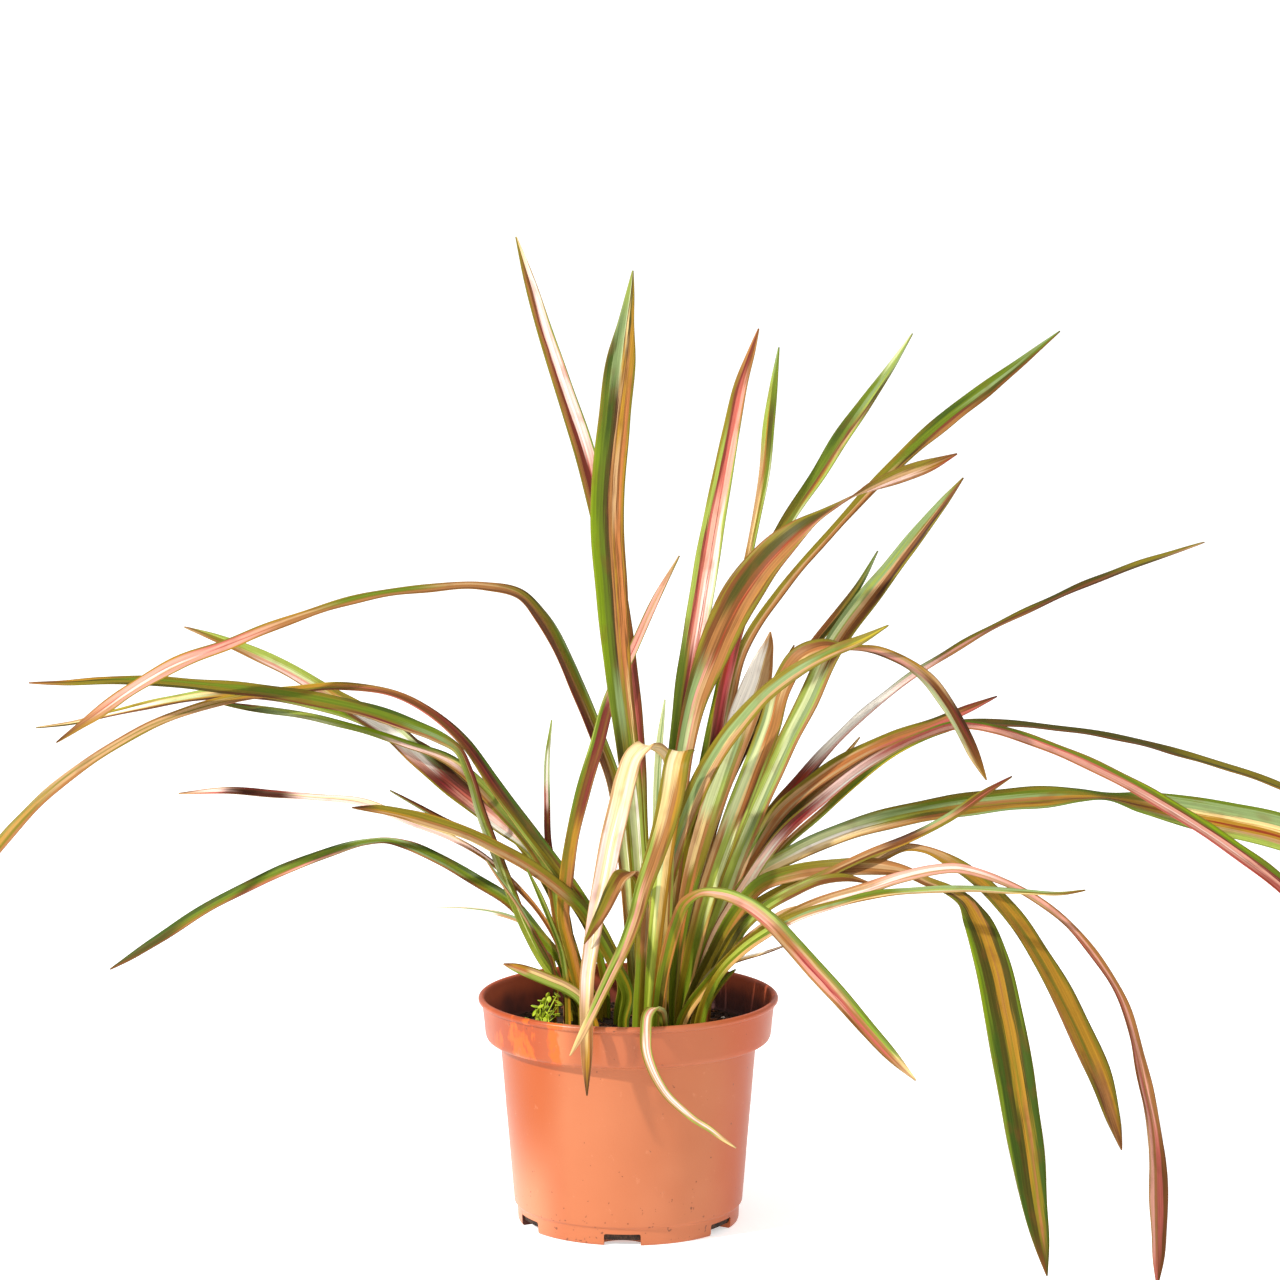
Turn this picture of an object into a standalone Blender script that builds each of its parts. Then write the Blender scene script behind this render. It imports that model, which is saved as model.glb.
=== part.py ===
"""A potted New Zealand flax: strap leaves that rise from soil in a round plastic nursery pot.

Lengths are in millimetres up to the last step, where MM turns them into Blender's metres. +Z is up,
the pot stands on z = 0 round the Z axis, and the plant is looked at from the -Y side.
"""

import math

import bmesh
import bpy
import numpy as np

MM = 0.001
CLEARANCE = 0.3

# The pot
POT_HEIGHT = 145
RIM_RADIUS = 95
COLLAR_RADIUS = 92.5
COLLAR_FOOT_RADIUS = 90.6
COLLAR_HEIGHT = 28
SHOULDER_RADIUS = 81
HEEL_RADIUS = 72.6
FOOT_RADIUS = 70.6
FOOT_HEIGHT = 12
FOOT_RING = 9
BASE_RECESS = 1.2
CENTRE_BOSS = 22
WALL = 1.6
FLOOR = 2.8
POT_SIDES = 48
DRAIN_COUNT = 6
DRAIN_WIDTH = 23
DRAIN_HEIGHT = 7.5
DRAIN_REACH = 14
DRAIN_TURN = math.radians(-93)

# The soil
SOIL_LEVEL = 120
SOIL_CROWN = 2
ROOT_DEPTH = 12
HOLE_RISE = 6

# The weeds and the twig on the soil, each weed as its x, y, height and reach
SEEDLINGS = {
    "seedling_tall": (-57, 10, 13, 7),
    "seedling_short": (-49, -14, 8, 6),
}
SEEDLING_LEAVES = 5
SEEDLING_STEM = 0.9
SEEDLING_BLADE = 0.7
SEEDLING_DEPTH = 6
TWIG_START = (-58, -18)
TWIG_END = (-50, 2)
TWIG_RADIUS = 1.3

# The blades
BLADE_THICKNESS = 0.8
TIP_WIDTH = 1.0
ROOT_WIDTH = 7
ROOT_FOLD = 35
UPRIGHT_FOOT = 7
FREE_LENGTH = 30
BLADE_FOLD = 14
OPENS_BY = 0.4
WIDEST_STRETCH = 0.6
STATION_LENGTH = 32
STATION_TURN = math.radians(19)
PATH_SAMPLES = 300

# The point the plant is looked at from, and how far crossing blades are kept apart
VIEWPOINT = np.array([7.4, -3000.0, 817.2])
ACROSS = np.array([1.0, 0.0, 0.0])
BLADE_GAP = 1.7
CELL = 2.0
STEPS_ALONG = 14
STEPS_ACROSS = 7
FIELD_LOW = np.array([-560.0, -120.0])
FIELD_CELLS = (640, 420)
PUSH_REACH = 45
MOST_ROUNDS = 160
CLOSE_ENOUGH = 0.05

# Colours, as linear red, green and blue
TERRACOTTA = (0.62, 0.19, 0.075)
PEAT = (0.028, 0.017, 0.011)
BARK = (0.33, 0.13, 0.04)
SEEDLING_GREEN = (0.23, 0.42, 0.03)
GREEN = (0.16, 0.22, 0.04)
OLIVE = (0.13, 0.11, 0.022)
BRONZE = (0.34, 0.15, 0.045)
CRIMSON = (0.42, 0.12, 0.09)
PINK = (0.68, 0.33, 0.25)
CREAM = (0.62, 0.52, 0.36)
STRAW = (0.78, 0.55, 0.32)
OCHRE = (0.38, 0.22, 0.035)
MAROON = (0.13, 0.035, 0.025)

LEAVES = []


def leaf(name, root, tilt, colour, *route, fold=BLADE_FOLD, nods=False, outer=None):
    """One leaf. root is where it leaves the soil, as x and y.

    Each row of the route is a place along the leaf: how far across and how far up it is seen on the
    plane through the pot's axis, how far behind that plane it lies, the width that is seen and, where
    the blade twists, its tilt there. tilt is how far its upper face is turned up from facing the viewer.
    A leaf that nods bends over towards the viewer, so its blade stays level across. Where leaves cross,
    the one rooted nearer passes in front. outer is a distance across and the y that counts as its root
    beyond it, for a leaf that comes forward as it reaches out.
    """
    LEAVES.append(dict(name=name, root=root, tilt=tilt, colour=colour, route=route, fold=fold,
                       nods=nods, outer=outer))


# The middle of the plant, from the nearest root to the furthest
leaf("leaf_small_over_rim", (22, -50), 0, CREAM,
     (22, 131, -64, 5), (20, 135, -76, 4.5), (15.5, 136, -86, 5), (12, 131, -95, 6.5), (11, 120, -100, 7),
     (11.5, 108, -102, 6.5), (14, 99, -102.5, 6), (18.5, 89, -103, 5.5), (25, 79, -104, 5),
     (33, 71, -106, 4.5), (42, 63.5, -108, 4), (52, 57, -110, 3.5), (61, 50, -112, 2.5), (68.5, 45, -114, 1),
     nods=True)
leaf("leaf_kinked_front_right", (18, -41), 10, PINK,
     (20.5, 148, -42, 7), (24.5, 170, -44, 8), (30, 190, -48, 8), (36, 204, -54, 7), (45, 210, -60, 5.5),
     (58, 210, -68, 7), (74, 204, -80, 9), (90, 192, -94, 10.5), (103, 178, -106, 11),
     (118, 161, -120, 11.5), (135, 142, -136, 11), (153, 121, -152, 9.5), (169, 103, -166, 7),
     (182.5, 89, -178, 1))
leaf("leaf_folded_yellow", (13, -30), 0, OCHRE,
     (17, 180, -26, 9), (23, 235, -24, 11), (29, 276, -23, 12), (32.5, 297, -26, 12), (33, 301.5, -32, 13),
     (31, 296, -39, 15), (28, 278, -45, 16), (23, 255, -50, 14.5), (17, 235, -54, 12.5),
     (9.5, 213, -60, 10.5), (5, 196, -66, 9.5), (-1, 179, -74, 8.5), (-10, 160, -87, 7.5),
     (-18, 143, -100, 6.5), (-25, 128, -108, 5.5), (-31, 116, -110, 4), (-37, 105, -111, 1), nods=True)
leaf("leaf_short_brown", (6, -22), 0, BRONZE,
     (8, 170, -22, 6), (9, 202, -23, 7), (7.5, 217, -26, 6), (2, 224, -31, 6), (-4, 222, -37, 8.5),
     (-10, 212, -44, 9.5), (-16, 199, -52, 8), (-22, 188, -59, 5.5), (-28, 177.5, -66, 1), nods=True)
leaf("leaf_straw_arch", (20, -16), 0, STRAW,
     (22, 170, -12, 9), (24, 235, -8, 10), (26, 280, -7, 9), (25, 297, -10, 7), (18, 304, -16, 6.5),
     (11, 305, -22, 8), (4, 299, -27, 11), (-1, 285, -31, 13.5), (-5.5, 266, -35, 14),
     (-10.5, 245, -39, 14), (-15, 222, -44, 13), (-20, 198, -54, 11), (-24, 172, -71, 9.5),
     (-26, 156, -85, 9), (-26.5, 140, -95, 8.5), (-26.5, 125, -99.5, 8), (-26.5, 105, -101, 7),
     (-26.3, 79, -103, 1), nods=True)
leaf("leaf_arching_green", (14, -6), 30, GREEN,
     (15, 160, -6, 10), (18, 196, -7, 11.5), (25, 225, -9, 12), (33, 251, -12, 12.5), (43, 276, -15, 12.5),
     (55, 299, -19, 12), (70, 320, -24, 11), (89, 340, -30, 10), (108, 354, -35, 8.5),
     (127, 364, -39, 7.5), (146, 372, -42, 5.5), (163, 381, -44, 1))
leaf("leaf_broad_upright", (8, 3), 12, GREEN,
     (9, 160, 4, 9), (6, 230, 5, 11), (0, 300, 5, 14), (-6, 350, 3, 16.5), (-10, 400, 0, 20),
     (-13, 450, -3, 21), (-8.5, 510, -7, 20), (-4, 550, -10, 17.5), (-1, 572, -12, 10),
     (1.5, 590, -13, 5), (3, 603, -14, 1))
leaf("leaf_pale_sliver", (16, 10), 20, GREEN,
     (16, 170, 12, 5), (17.5, 240, 18, 5), (18, 280, 22, 4.5), (20, 310, 26, 4), (23, 334, 30, 1))
leaf("leaf_tall_left", (12, 17), 12, CREAM,
     (12, 170, 19, 9), (7.5, 240, 23, 11), (4, 308, 28, 13), (-3, 370, 33, 14), (-12.5, 430, 38, 14),
     (-27, 490, 44, 13.5), (-41, 533, 48, 11.5), (-53, 570, 52, 9.5), (-62, 600, 55, 6.5),
     (-69.3, 624, 58, 1))
leaf("leaf_crimson_upright", (20, 28), 15, CRIMSON,
     (18, 160, 28, 9), (24, 230, 28, 11), (32, 305, 26, 13), (37, 345, 24, 15), (43.5, 385, 22, 15.5),
     (49, 420, 18, 15.5), (56, 460, 14, 13.5), (63.5, 500, 9, 11), (70, 532, 5, 8.3), (77, 554, 2, 4.5),
     (81, 567, 0, 1))
leaf("leaf_long_arch_left", (4, 45), 52, BRONZE,
     (2, 180, 48, 8), (-3, 240, 52, 9), (-9, 282, 55, 9.5), (-23, 320, 58, 9.5), (-38.5, 357.5, 60, 9.5),
     (-54.5, 387, 61, 8.5), (-66.5, 400, 60, 7), (-91, 406, 58, 5), (-125, 404.5, 54, 5),
     (-160, 400, 49, 5), (-205, 387, 42, 5.5), (-247.5, 370.5, 35, 7), (-290, 353.5, 29, 8.6),
     (-314, 339, 26, 8), (-335, 324, 23, 6.5), (-359.5, 306.5, 20, 1), outer=(-225, 10))

# The left side
leaf("leaf_short_over_left_rim", (-22, -12), 30, OCHRE,
     (-26, 134, -10, 6), (-31, 143, -7, 7), (-39, 149, -4, 8), (-50, 154, -1, 8), (-62, 159, 2, 7.5),
     (-72, 162.5, 4, 5), (-79, 164.5, 6, 1))
leaf("leaf_thin_green_left", (-38, -4), 30, GREEN,
     (-39, 150, -2, 3.5), (-42, 172, 1, 3.5), (-49, 192, 4, 3.5), (-56, 209, 7, 3), (-64, 226, 10, 1))
leaf("leaf_olive_left", (-3, 2), 42, OLIVE,
     (0, 143, 3, 8), (-9, 165, 5, 8), (-19, 184, 8, 8.5), (-30, 201, 11, 8.5), (-45, 215, 14, 8.5),
     (-62, 227.5, 17, 8.5), (-81, 238.5, 20, 8), (-100, 248, 22, 8), (-119, 254.5, 24, 8.5),
     (-139, 260.5, 26, 7), (-157, 264, 28, 5.5), (-174, 265, 30, 1))
leaf("leaf_red_left", (-28, 8), 12, MAROON,
     (-35, 167, 9, 7), (-41, 195, 11, 8), (-39, 220, 13, 9), (-35, 248, 16, 8.5), (-28, 277, 19, 9.5),
     (-19.5, 306, 22, 9), (-12, 333, 25, 8), (4, 368, 30, 6), (17, 397, 34, 5), (32, 425, 38, 1))
leaf("leaf_bent_green_left", (-32, 17), 42, GREEN,
     (-37, 143, 19, 6), (-46, 155, 22, 6), (-55, 168, 25, 6), (-64, 186, 29, 6.5), (-74, 211, 33, 7),
     (-84, 238, 37, 7), (-93, 263, 41, 6.5), (-100, 287, 45, 6), (-107, 302, 48, 5.5),
     (-119, 310, 52, 8), (-135, 317, 55, 9), (-160, 326, 58, 9.5), (-190, 333, 60, 9),
     (-225, 339, 60, 8.5), (-265, 343, 60, 7.5), (-300, 346, 58, 6), (-330, 346, 57, 5),
     (-355, 344.5, 56, 3), (-376, 344.5, 54, 1))
leaf("leaf_light_green_left", (-24, 26), 40, GREEN,
     (-38, 160, 30, 7), (-44, 195, 34, 8), (-48, 218, 38, 8.5), (-58, 238, 43, 9), (-76, 260, 50, 9.5),
     (-94, 280, 58, 9), (-110, 294, 64, 7), (-140, 306, 72, 5), (-175, 317, 80, 4.5),
     (-210, 325, 86, 4.5), (-240, 329, 91, 4), (-262, 333, 95, 1))
leaf("leaf_withered_left", (-40, 24), 30, STRAW,
     (-43, 173, 27, 3), (-55, 196, 31, 3), (-70, 214, 36, 3.5), (-90, 233, 42, 3.5), (-112, 246, 49, 4),
     (-137, 256, 57, 5), (-165, 268, 65, 5), (-200, 272, 73, 4), (-225, 274, 79, 5),
     (-252, 276, 85, 4.5), (-283, 274, 92, 1))
leaf("leaf_purple_arch_left", (-6, 22), 40, MAROON,
     (-3, 150, 24, 8), (-14, 178, 28, 9), (-30, 205, 33, 9.5), (-46, 228, 38, 9.5), (-65, 253.5, 44, 9.5),
     (-84, 280, 50, 8.5), (-102, 306, 57, 7), (-124, 326, 64, 5.5), (-148, 338, 70, 4.5),
     (-180, 342.5, 75, 5), (-212, 340, 78, 5), (-240, 336, 78, 5.5), (-270, 329, 76, 5.5),
     (-300, 317.5, 73, 5.5), (-330.5, 300, 69, 5.8), (-356, 282, 65, 6.2), (-376.5, 263.5, 61, 6.8),
     (-395, 243, 57, 7.2), (-411, 220, 53, 6.5), (-425, 194, 49, 4.5), (-435, 170, 45, 1))
leaf("leaf_grey_stem_left", (-47, 16), 20, BRONZE,
     (-48, 162, 20, 2.5), (-58, 182, 26, 2.5), (-70, 203, 33, 2.5), (-81, 219, 40, 2.5), (-90, 232, 46, 1))
leaf("leaf_channelled_left", (-20, 32), 32, PINK,
     (-33, 160, 34, 7), (-42, 200, 39, 8), (-51, 225, 44, 8), (-63, 240, 49, 8.5), (-80, 254, 57, 10.5),
     (-97, 268, 66, 13), (-114, 282.5, 76, 14.5), (-131, 298, 85, 14.5), (-149, 314.5, 94, 13.5),
     (-170, 327.5, 102, 11.5), (-188.5, 338.5, 109, 10), (-206.5, 349.5, 115, 9), (-232, 362.5, 122, 8.5),
     (-259, 373.5, 129, 5), (-278, 380, 134, 1), fold=24)
leaf("leaf_hanging_left", (-38, 34), 40, GREEN,
     (-42, 165, 40, 6), (-56, 183, 50, 7), (-75, 205, 63, 8), (-96, 218.5, 76, 7.5), (-119, 232, 90, 7.5),
     (-140.5, 241.5, 102, 5.5), (-152, 244, 108, 4.2), (-165, 243, 115, 4.2), (-190, 236, 127, 6.3),
     (-217, 225.5, 139, 7.3), (-245.5, 212, 151, 6.8), (-275, 195.5, 162, 6.8), (-299.5, 179, 170, 6.2),
     (-315, 169, 174, 4), (-328, 161, 177, 1))
leaf("leaf_inner_dark_left", (-14, 42), 35, OLIVE,
     (-22, 180, 46, 5), (-40, 210, 52, 5), (-63, 229, 59, 5), (-90, 244.5, 67, 4), (-115, 256.5, 75, 3.5),
     (-132, 266, 81, 2.8), (-150, 276, 87, 1))
leaf("leaf_pale_thread_left", (-46, 42), 20, CREAM,
     (-50, 173, 50, 2.5), (-63, 189, 62, 3), (-82, 197, 74, 3), (-100, 200, 84, 2.5), (-121, 201, 94, 1))
leaf("leaf_white_left", (-29, 43), 45, CREAM,
     (-40, 190, 50, 6), (-60, 232, 60, 7), (-90, 268, 74, 7.5), (-125, 300, 92, 7), (-165, 320, 110, 6),
     (-210, 334, 128, 6.5), (-250, 338, 142, 6.5), (-290, 333, 155, 6), (-325, 325, 165, 4),
     (-350, 319, 171, 2.5), (-372, 316, 176, 1))
leaf("leaf_upright_sliver_left", (-36, 52), 15, MAROON,
     (-38, 175, 55, 4), (-44, 215, 58, 4), (-50, 240, 60, 4.5), (-51, 270, 62, 4), (-51, 295, 64, 3.5),
     (-48, 321, 66, 1))

# The right side, from the nearest root to the furthest
leaf("leaf_level_green_right", (44, -39), 48, GREEN,
     (58, 158, -40, 5.5), (72, 173, -48, 6), (90, 186, -58, 6), (109, 196, -70, 5.5), (134, 204, -84, 5),
     (160, 210, -100, 4.5), (184, 212, -114, 4), (215, 213, -132, 4), (250, 211, -152, 3),
     (275, 210, -166, 2), (288.5, 212, -173, 1))
leaf("leaf_pink_hanging_right", (32, -33), 45, PINK,
     (54, 156, -36, 7), (68, 171, -42, 7.5), (96, 192, -52, 7.5), (121, 204, -62, 7.5),
     (150, 213, -72, 7.5), (174, 221, -80, 7), (192, 225, -86, 6.5), (208, 226, -92, 6),
     (222, 223, -98, 5), (240, 216, -106, 4.5), (273, 195, -126, 4.5), (299, 165, -148, 5),
     (313, 142, -164, 5), (321, 118, -180, 6), (329, 84, -202, 8), (335, 55, -220, 8),
     (338, 20, -240, 11), (338.5, -8, -256, 9.3), (338.5, -28, -266, 6.6), (338, -46, -274, 1))
leaf("leaf_short_dark_right", (38, -24), 30, OLIVE,
     (43, 140, -22, 6), (49, 152, -23, 7), (58, 162, -25, 6), (65, 166, -27, 4), (72, 168, -29, 1))
leaf("leaf_short_tan_right", (40.5, -29.5), 20, BRONZE,
     (52, 150, -30, 5), (62, 165, -31, 5), (72, 177, -32, 5.5), (85, 188, -33, 5.5), (98, 197, -34, 5),
     (113, 203, -35, 1))
leaf("leaf_withered_stalk_right", (48, -30), 10, STRAW,
     (53, 148, -31, 2.5), (60, 163, -34, 3), (68, 166.5, -39, 3), (87, 172, -46, 2), (101, 177, -54, 1))
leaf("leaf_short_green_right", (48, -22), 20, GREEN,
     (51, 140, -20, 4.5), (56, 149, -19, 5), (62, 156, -18, 4), (68, 161, -17, 1))
leaf("leaf_short_olive_right", (43, -16), 30, OLIVE,
     (52, 153, -15, 6), (64, 172, -14, 6), (73, 188, -13, 6), (87, 201, -12, 6), (104, 211, -11, 6.5),
     (122, 218.5, -10, 6), (138, 220, -9, 4.5), (153, 216.5, -8, 1))
leaf("leaf_brown_blade_right", (48, -11), 45, BRONZE,
     (60, 172, -14, 6), (72, 190, -17, 6.5), (93, 206, -21, 6.5), (120, 220, -25, 6), (151, 235, -29, 5.5),
     (178, 246, -32, 5.5), (204, 260, -34, 5.5), (222, 273, -35, 4.5), (241.5, 285, -36, 1))
leaf("leaf_broad_hanging_right", (36, -9), 40, GREEN,
     (54, 172, -12, 8), (67, 196, -17, 9), (84, 216, -24, 10), (104, 223, -32, 10.5), (130, 226.5, -42, 11),
     (158, 227, -54, 10), (175, 224, -62, 7), (188, 218, -68, 6), (203, 212, -76, 6.5),
     (212.5, 205.5, -82, 9, 34), (220, 193.5, -90, 16, 26), (229.5, 168, -104, 21, 18),
     (238, 131, -124, 23.5, 14), (244, 100, -144, 24, 12), (249.5, 68, -166, 22.5, 12),
     (254.2, 40, -186, 20.8, 12), (259, 8, -208, 15.2, 12), (263.7, -18, -226, 9.5, 12),
     (267.5, -39, -240, 1, 12))
leaf("leaf_ochre_hanging_right", (44, -4), 42, OCHRE,
     (58, 172, -2, 8), (72, 194, -8, 9), (92, 208, -17, 9), (116, 218, -28, 8.5), (140, 226, -39, 7.5),
     (159, 233, -48, 6), (175, 239.5, -54, 5), (188, 238, -60, 4.5), (203, 231, -66, 7.4),
     (221, 219, -74, 9), (241.5, 198, -86, 10.5), (263, 166.5, -102, 12), (281, 133, -118, 14.6),
     (292.5, 108.5, -130, 15), (302, 85.5, -141, 13.3), (309.2, 61.6, -150, 7.9), (314, 43.5, -156, 1))
leaf("leaf_arch_over_right", (33, 3), 30, BRONZE,
     (39, 165, 3, 10, 5), (50, 210, 2, 12.5, 8), (63, 248, 0, 14, 10), (77, 286, -2, 14, 14),
     (88, 315, -4, 14, 18), (97, 345, -7, 13, 28), (107, 361, -10, 12, 42), (121, 368, -15, 10, 55),
     (139, 367, -22, 5.5, 66), (157, 365, -29, 6.5, 62), (173, 358.5, -36, 7, 56), (188.5, 346.5, -43, 8, 50),
     (200.5, 331, -48, 8, 46), (211, 312.5, -53, 8, 44), (219, 296, -56, 6, 44), (225.5, 282.5, -58, 1, 44))
leaf("leaf_pink_arch_right", (43, 5), 45, PINK,
     (55, 182, 9, 7), (74, 215, 12, 7.5), (96, 247, 14, 7.5), (121, 270, 15, 7), (158, 298, 14, 6),
     (184, 311, 12, 5.5), (207, 318, 8, 5.5), (231, 315, 3, 6), (265.8, 303.5, -5, 7), (302, 287.5, -14, 8),
     (336.5, 268.5, -23, 9), (372, 246, -32, 9.5), (410, 218, -41, 10), (438, 193, -47, 8),
     (458, 172, -51, 5), (470, 158, -53, 1))
leaf("leaf_cream_striped", (39, 12), 22, CREAM,
     (46, 168, 15, 9), (58, 204, 19, 11), (70, 238, 23, 12.5), (87, 279, 29, 13), (100, 308, 34, 13),
     (113, 334, 39, 13.5), (129, 369, 46, 13.5), (148, 396, 52, 14), (165.5, 418.5, 58, 11.5),
     (182.3, 440.5, 63, 9.3), (197, 459, 67, 6), (209, 474, 70, 1))
leaf("leaf_broad_pale", (29, 13), 15, CREAM,
     (33, 185, 17, 9), (43, 232, 22, 12), (56, 276, 27, 15), (66, 305, 31, 17), (74, 328, 34, 18.5),
     (81, 346, 37, 17.5), (85, 360, 39, 12), (88, 370, 40, 6), (89, 377, 41, 1))
leaf("leaf_broad_green_right", (48.5, 15.5), 45, GREEN,
     (58, 180, 19, 8), (77, 218.5, 23, 9.5), (105, 236, 27, 11), (140, 251, 31, 12.5), (172, 260, 33, 13.5),
     (204, 266, 34, 14.5), (235, 270, 34, 14.5), (262, 272, 33, 13), (285, 273, 31, 10, 56),
     (303, 272, 29, 7.5, 66), (322, 269, 26, 13, 48), (350, 263, 22, 19, 30), (380, 257, 16, 22, 20),
     (410, 250, 9, 23, 16), (442, 238, 1, 20, 16), (475, 222, -7, 14, 16), (503, 206, -13, 7, 16),
     (522, 193, -17, 1, 16))
leaf("leaf_thin_green_right", (48, 21), 30, GREEN,
     (66, 190, 20, 4), (82, 218, 21, 4.5), (98, 240, 23, 4.5), (122, 262, 25, 5), (147, 285, 27, 5),
     (170, 302, 28, 4.5), (190, 311, 29, 3), (204, 315, 30, 1))
leaf("leaf_broad_bronze", (23, 20), 20, BRONZE,
     (25, 175, 21, 9, 5), (30, 240, 22, 10.5, 5), (36, 305, 22, 12, 6), (43, 336, 21, 15, 8),
     (51, 358, 20, 20, 10), (60, 380, 18, 23, 12), (71, 401, 15, 24, 16), (86.5, 422.5, 12, 20.5, 24),
     (107, 442, 8, 12.5, 44), (134, 459, 4, 4, 78), (153, 469, 1, 7.5, 118), (168, 475, -2, 9.5, 138),
     (188, 482, -6, 7.5, 146), (205, 489, -10, 1, 150))
leaf("leaf_bronze_right", (40, 21), 42, BRONZE,
     (55, 188, 26, 8), (77, 235, 32, 9), (95, 263, 37, 10), (117, 282, 43, 10), (141, 298, 49, 9.5),
     (166, 309.5, 55, 8), (190, 318, 60, 7.5), (213, 328, 64, 5), (231.5, 336, 67, 1))
leaf("leaf_thin_dark_right", (47, 28), 55, OLIVE,
     (61, 190, 32, 7), (84, 236, 40, 7), (120, 276, 52, 7), (165, 305, 66, 6), (208, 319, 80, 5),
     (238, 319, 88, 4.5), (270, 315.8, 97, 3.8), (309, 309.7, 106, 4.3), (350, 299, 115, 5),
     (389, 287, 122, 5), (420, 275, 127, 4.5), (446, 262, 130, 3), (464, 251, 132, 1))
leaf("leaf_red_inner", (33, 29), 20, CRIMSON,
     (40, 190, 36, 8), (48, 260, 44, 8.5), (55, 310, 52, 8), (62, 350, 60, 7.5), (74, 395, 70, 8),
     (98, 445, 82, 8), (119, 477, 92, 9.5), (133, 500, 99, 10.5), (147, 520, 105, 8.8),
     (163, 543, 112, 5.2), (176.5, 564, 118, 1))
leaf("leaf_far_thin_right", (43, 34), 55, MAROON,
     (57, 190, 40, 7), (74, 231, 48, 8), (89, 260, 56, 7.5), (108, 283, 66, 7.5), (133, 311, 78, 6.5),
     (168, 342, 94, 5.5), (202.5, 365, 110, 5), (228.5, 380, 121, 4), (255, 393, 132, 4),
     (281, 405, 142, 4.5), (308, 416, 152, 4.5), (334, 425, 160, 3.5), (360, 433.5, 167, 1))
leaf("leaf_brown_sliver_right", (28, 34), 10, BRONZE,
     (38, 180, 35, 3), (41, 212, 36, 3), (43.5, 245, 37, 3), (45, 273, 38, 2.5), (47, 296, 39, 1))
leaf("leaf_slim_upright_right", (25, 40), 20, OLIVE,
     (28, 170, 44, 7), (42, 260, 52, 8), (56, 330, 59, 8), (68, 390, 65, 7), (76, 428, 69, 5),
     (80, 449, 71, 5.5), (85, 478, 74, 7), (87.5, 507, 77, 7.5), (90.5, 532, 79, 5), (93.6, 555.5, 81, 1))
leaf("leaf_high_green_right", (38, 41), 30, GREEN,
     (43, 180, 50, 8), (52, 260, 66, 8), (62, 325, 80, 7.5), (72, 366, 90, 7), (93.5, 400, 104, 6.2),
     (127.5, 440.5, 122, 5.5), (163, 479, 140, 8), (198.5, 511, 156, 11), (221.5, 528.7, 166, 10),
     (245.5, 547.5, 176, 5.8), (268, 565.5, 184, 1))
leaf("leaf_hidden_tip_upper", (33, 50), 20, OLIVE,
     (36, 180, 58, 6), (52, 250, 74, 7), (74, 310, 90, 7), (95, 350, 101, 5), (104, 368.5, 106, 1))
leaf("leaf_dark_spear_right", (44, 47), 25, MAROON,
     (47, 190, 54, 7), (48, 231, 64, 8), (55, 262, 74, 8.5), (73, 305, 88, 8), (98, 342, 102, 7),
     (120, 374, 113, 6.5), (132, 389, 118, 6), (144, 406, 123, 4.5), (156, 428, 129, 1))
leaf("leaf_hidden_tip_lower", (48, 41), 25, OCHRE,
     (61, 180, 50, 6), (78, 228, 64, 7), (103, 263, 78, 6.5), (128, 288, 90, 5), (145.5, 310, 98, 1))


# Places along a leaf

def seen_point(across, up, away):
    """The point seen at (across, up) on the plane through the pot's axis, moved along the line of sight."""
    reach = (away - VIEWPOINT[1]) / -VIEWPOINT[1]
    return np.stack([
        VIEWPOINT[0] + reach * (across - VIEWPOINT[0]),
        away,
        VIEWPOINT[2] + reach * (up - VIEWPOINT[2]),
    ], axis=-1)


def as_seen(points):
    """How far across and up each point is seen, and how far away it lies."""
    reach = (points[..., 1] - VIEWPOINT[1]) / -VIEWPOINT[1]
    across = VIEWPOINT[0] + (points[..., 0] - VIEWPOINT[0]) / reach
    up = VIEWPOINT[2] + (points[..., 2] - VIEWPOINT[2]) / reach
    return across, up, points[..., 1]


def unit(vectors):
    return vectors / np.maximum(np.linalg.norm(vectors, axis=-1, keepdims=True), 1e-9)


def ease(share):
    """A smooth rise from 0 to 1."""
    share = np.clip(share, 0, 1)
    return share * share * (3 - 2 * share)


def smooth_path(rows, samples):
    """Rows evenly spaced along a smooth curve through the given rows."""
    step = np.linalg.norm(np.diff(rows[:, :3], axis=0), axis=1)
    knots = np.concatenate([[0], np.cumsum(step)])
    slope = np.gradient(rows, knots, axis=0)
    at = np.linspace(0, knots[-1], samples)
    i = np.clip(np.searchsorted(knots, at, side="right") - 1, 0, len(step) - 1)
    h = step[i][:, None]
    u = (at - knots[i])[:, None] / h
    start = (1 + 2 * u) * (1 - u) ** 2 * rows[i] + u * (1 - u) ** 2 * h * slope[i]
    end = u * u * (3 - 2 * u) * rows[i + 1] - u * u * (1 - u) * h * slope[i + 1]
    return start + end


def route_rows(item):
    """The leaf's rows of across, up, away, width and tilt, from the soil to the tip."""
    root = np.array([[*item["root"], SOIL_LEVEL], [*item["root"], SOIL_LEVEL + UPRIGHT_FOOT]], float)
    across, up, away = as_seen(root)
    rows = [[across[k], up[k], away[k], ROOT_WIDTH if item["route"][0][3] > 5 else item["route"][0][3]]
            for k in range(2)]
    rows = [list(row) + [0.0] for row in rows]
    given = [list(row) for row in item["route"]]
    length = np.cumsum([0.0] + [math.dist(a[:3], b[:3]) for a, b in zip(given, given[1:])])
    for row, share in zip(given, length / length[-1]):
        rows.append(row if len(row) == 5 else row + [item["tilt"] * float(ease(share / OPENS_BY))])
    return np.array(rows, float)


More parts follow.
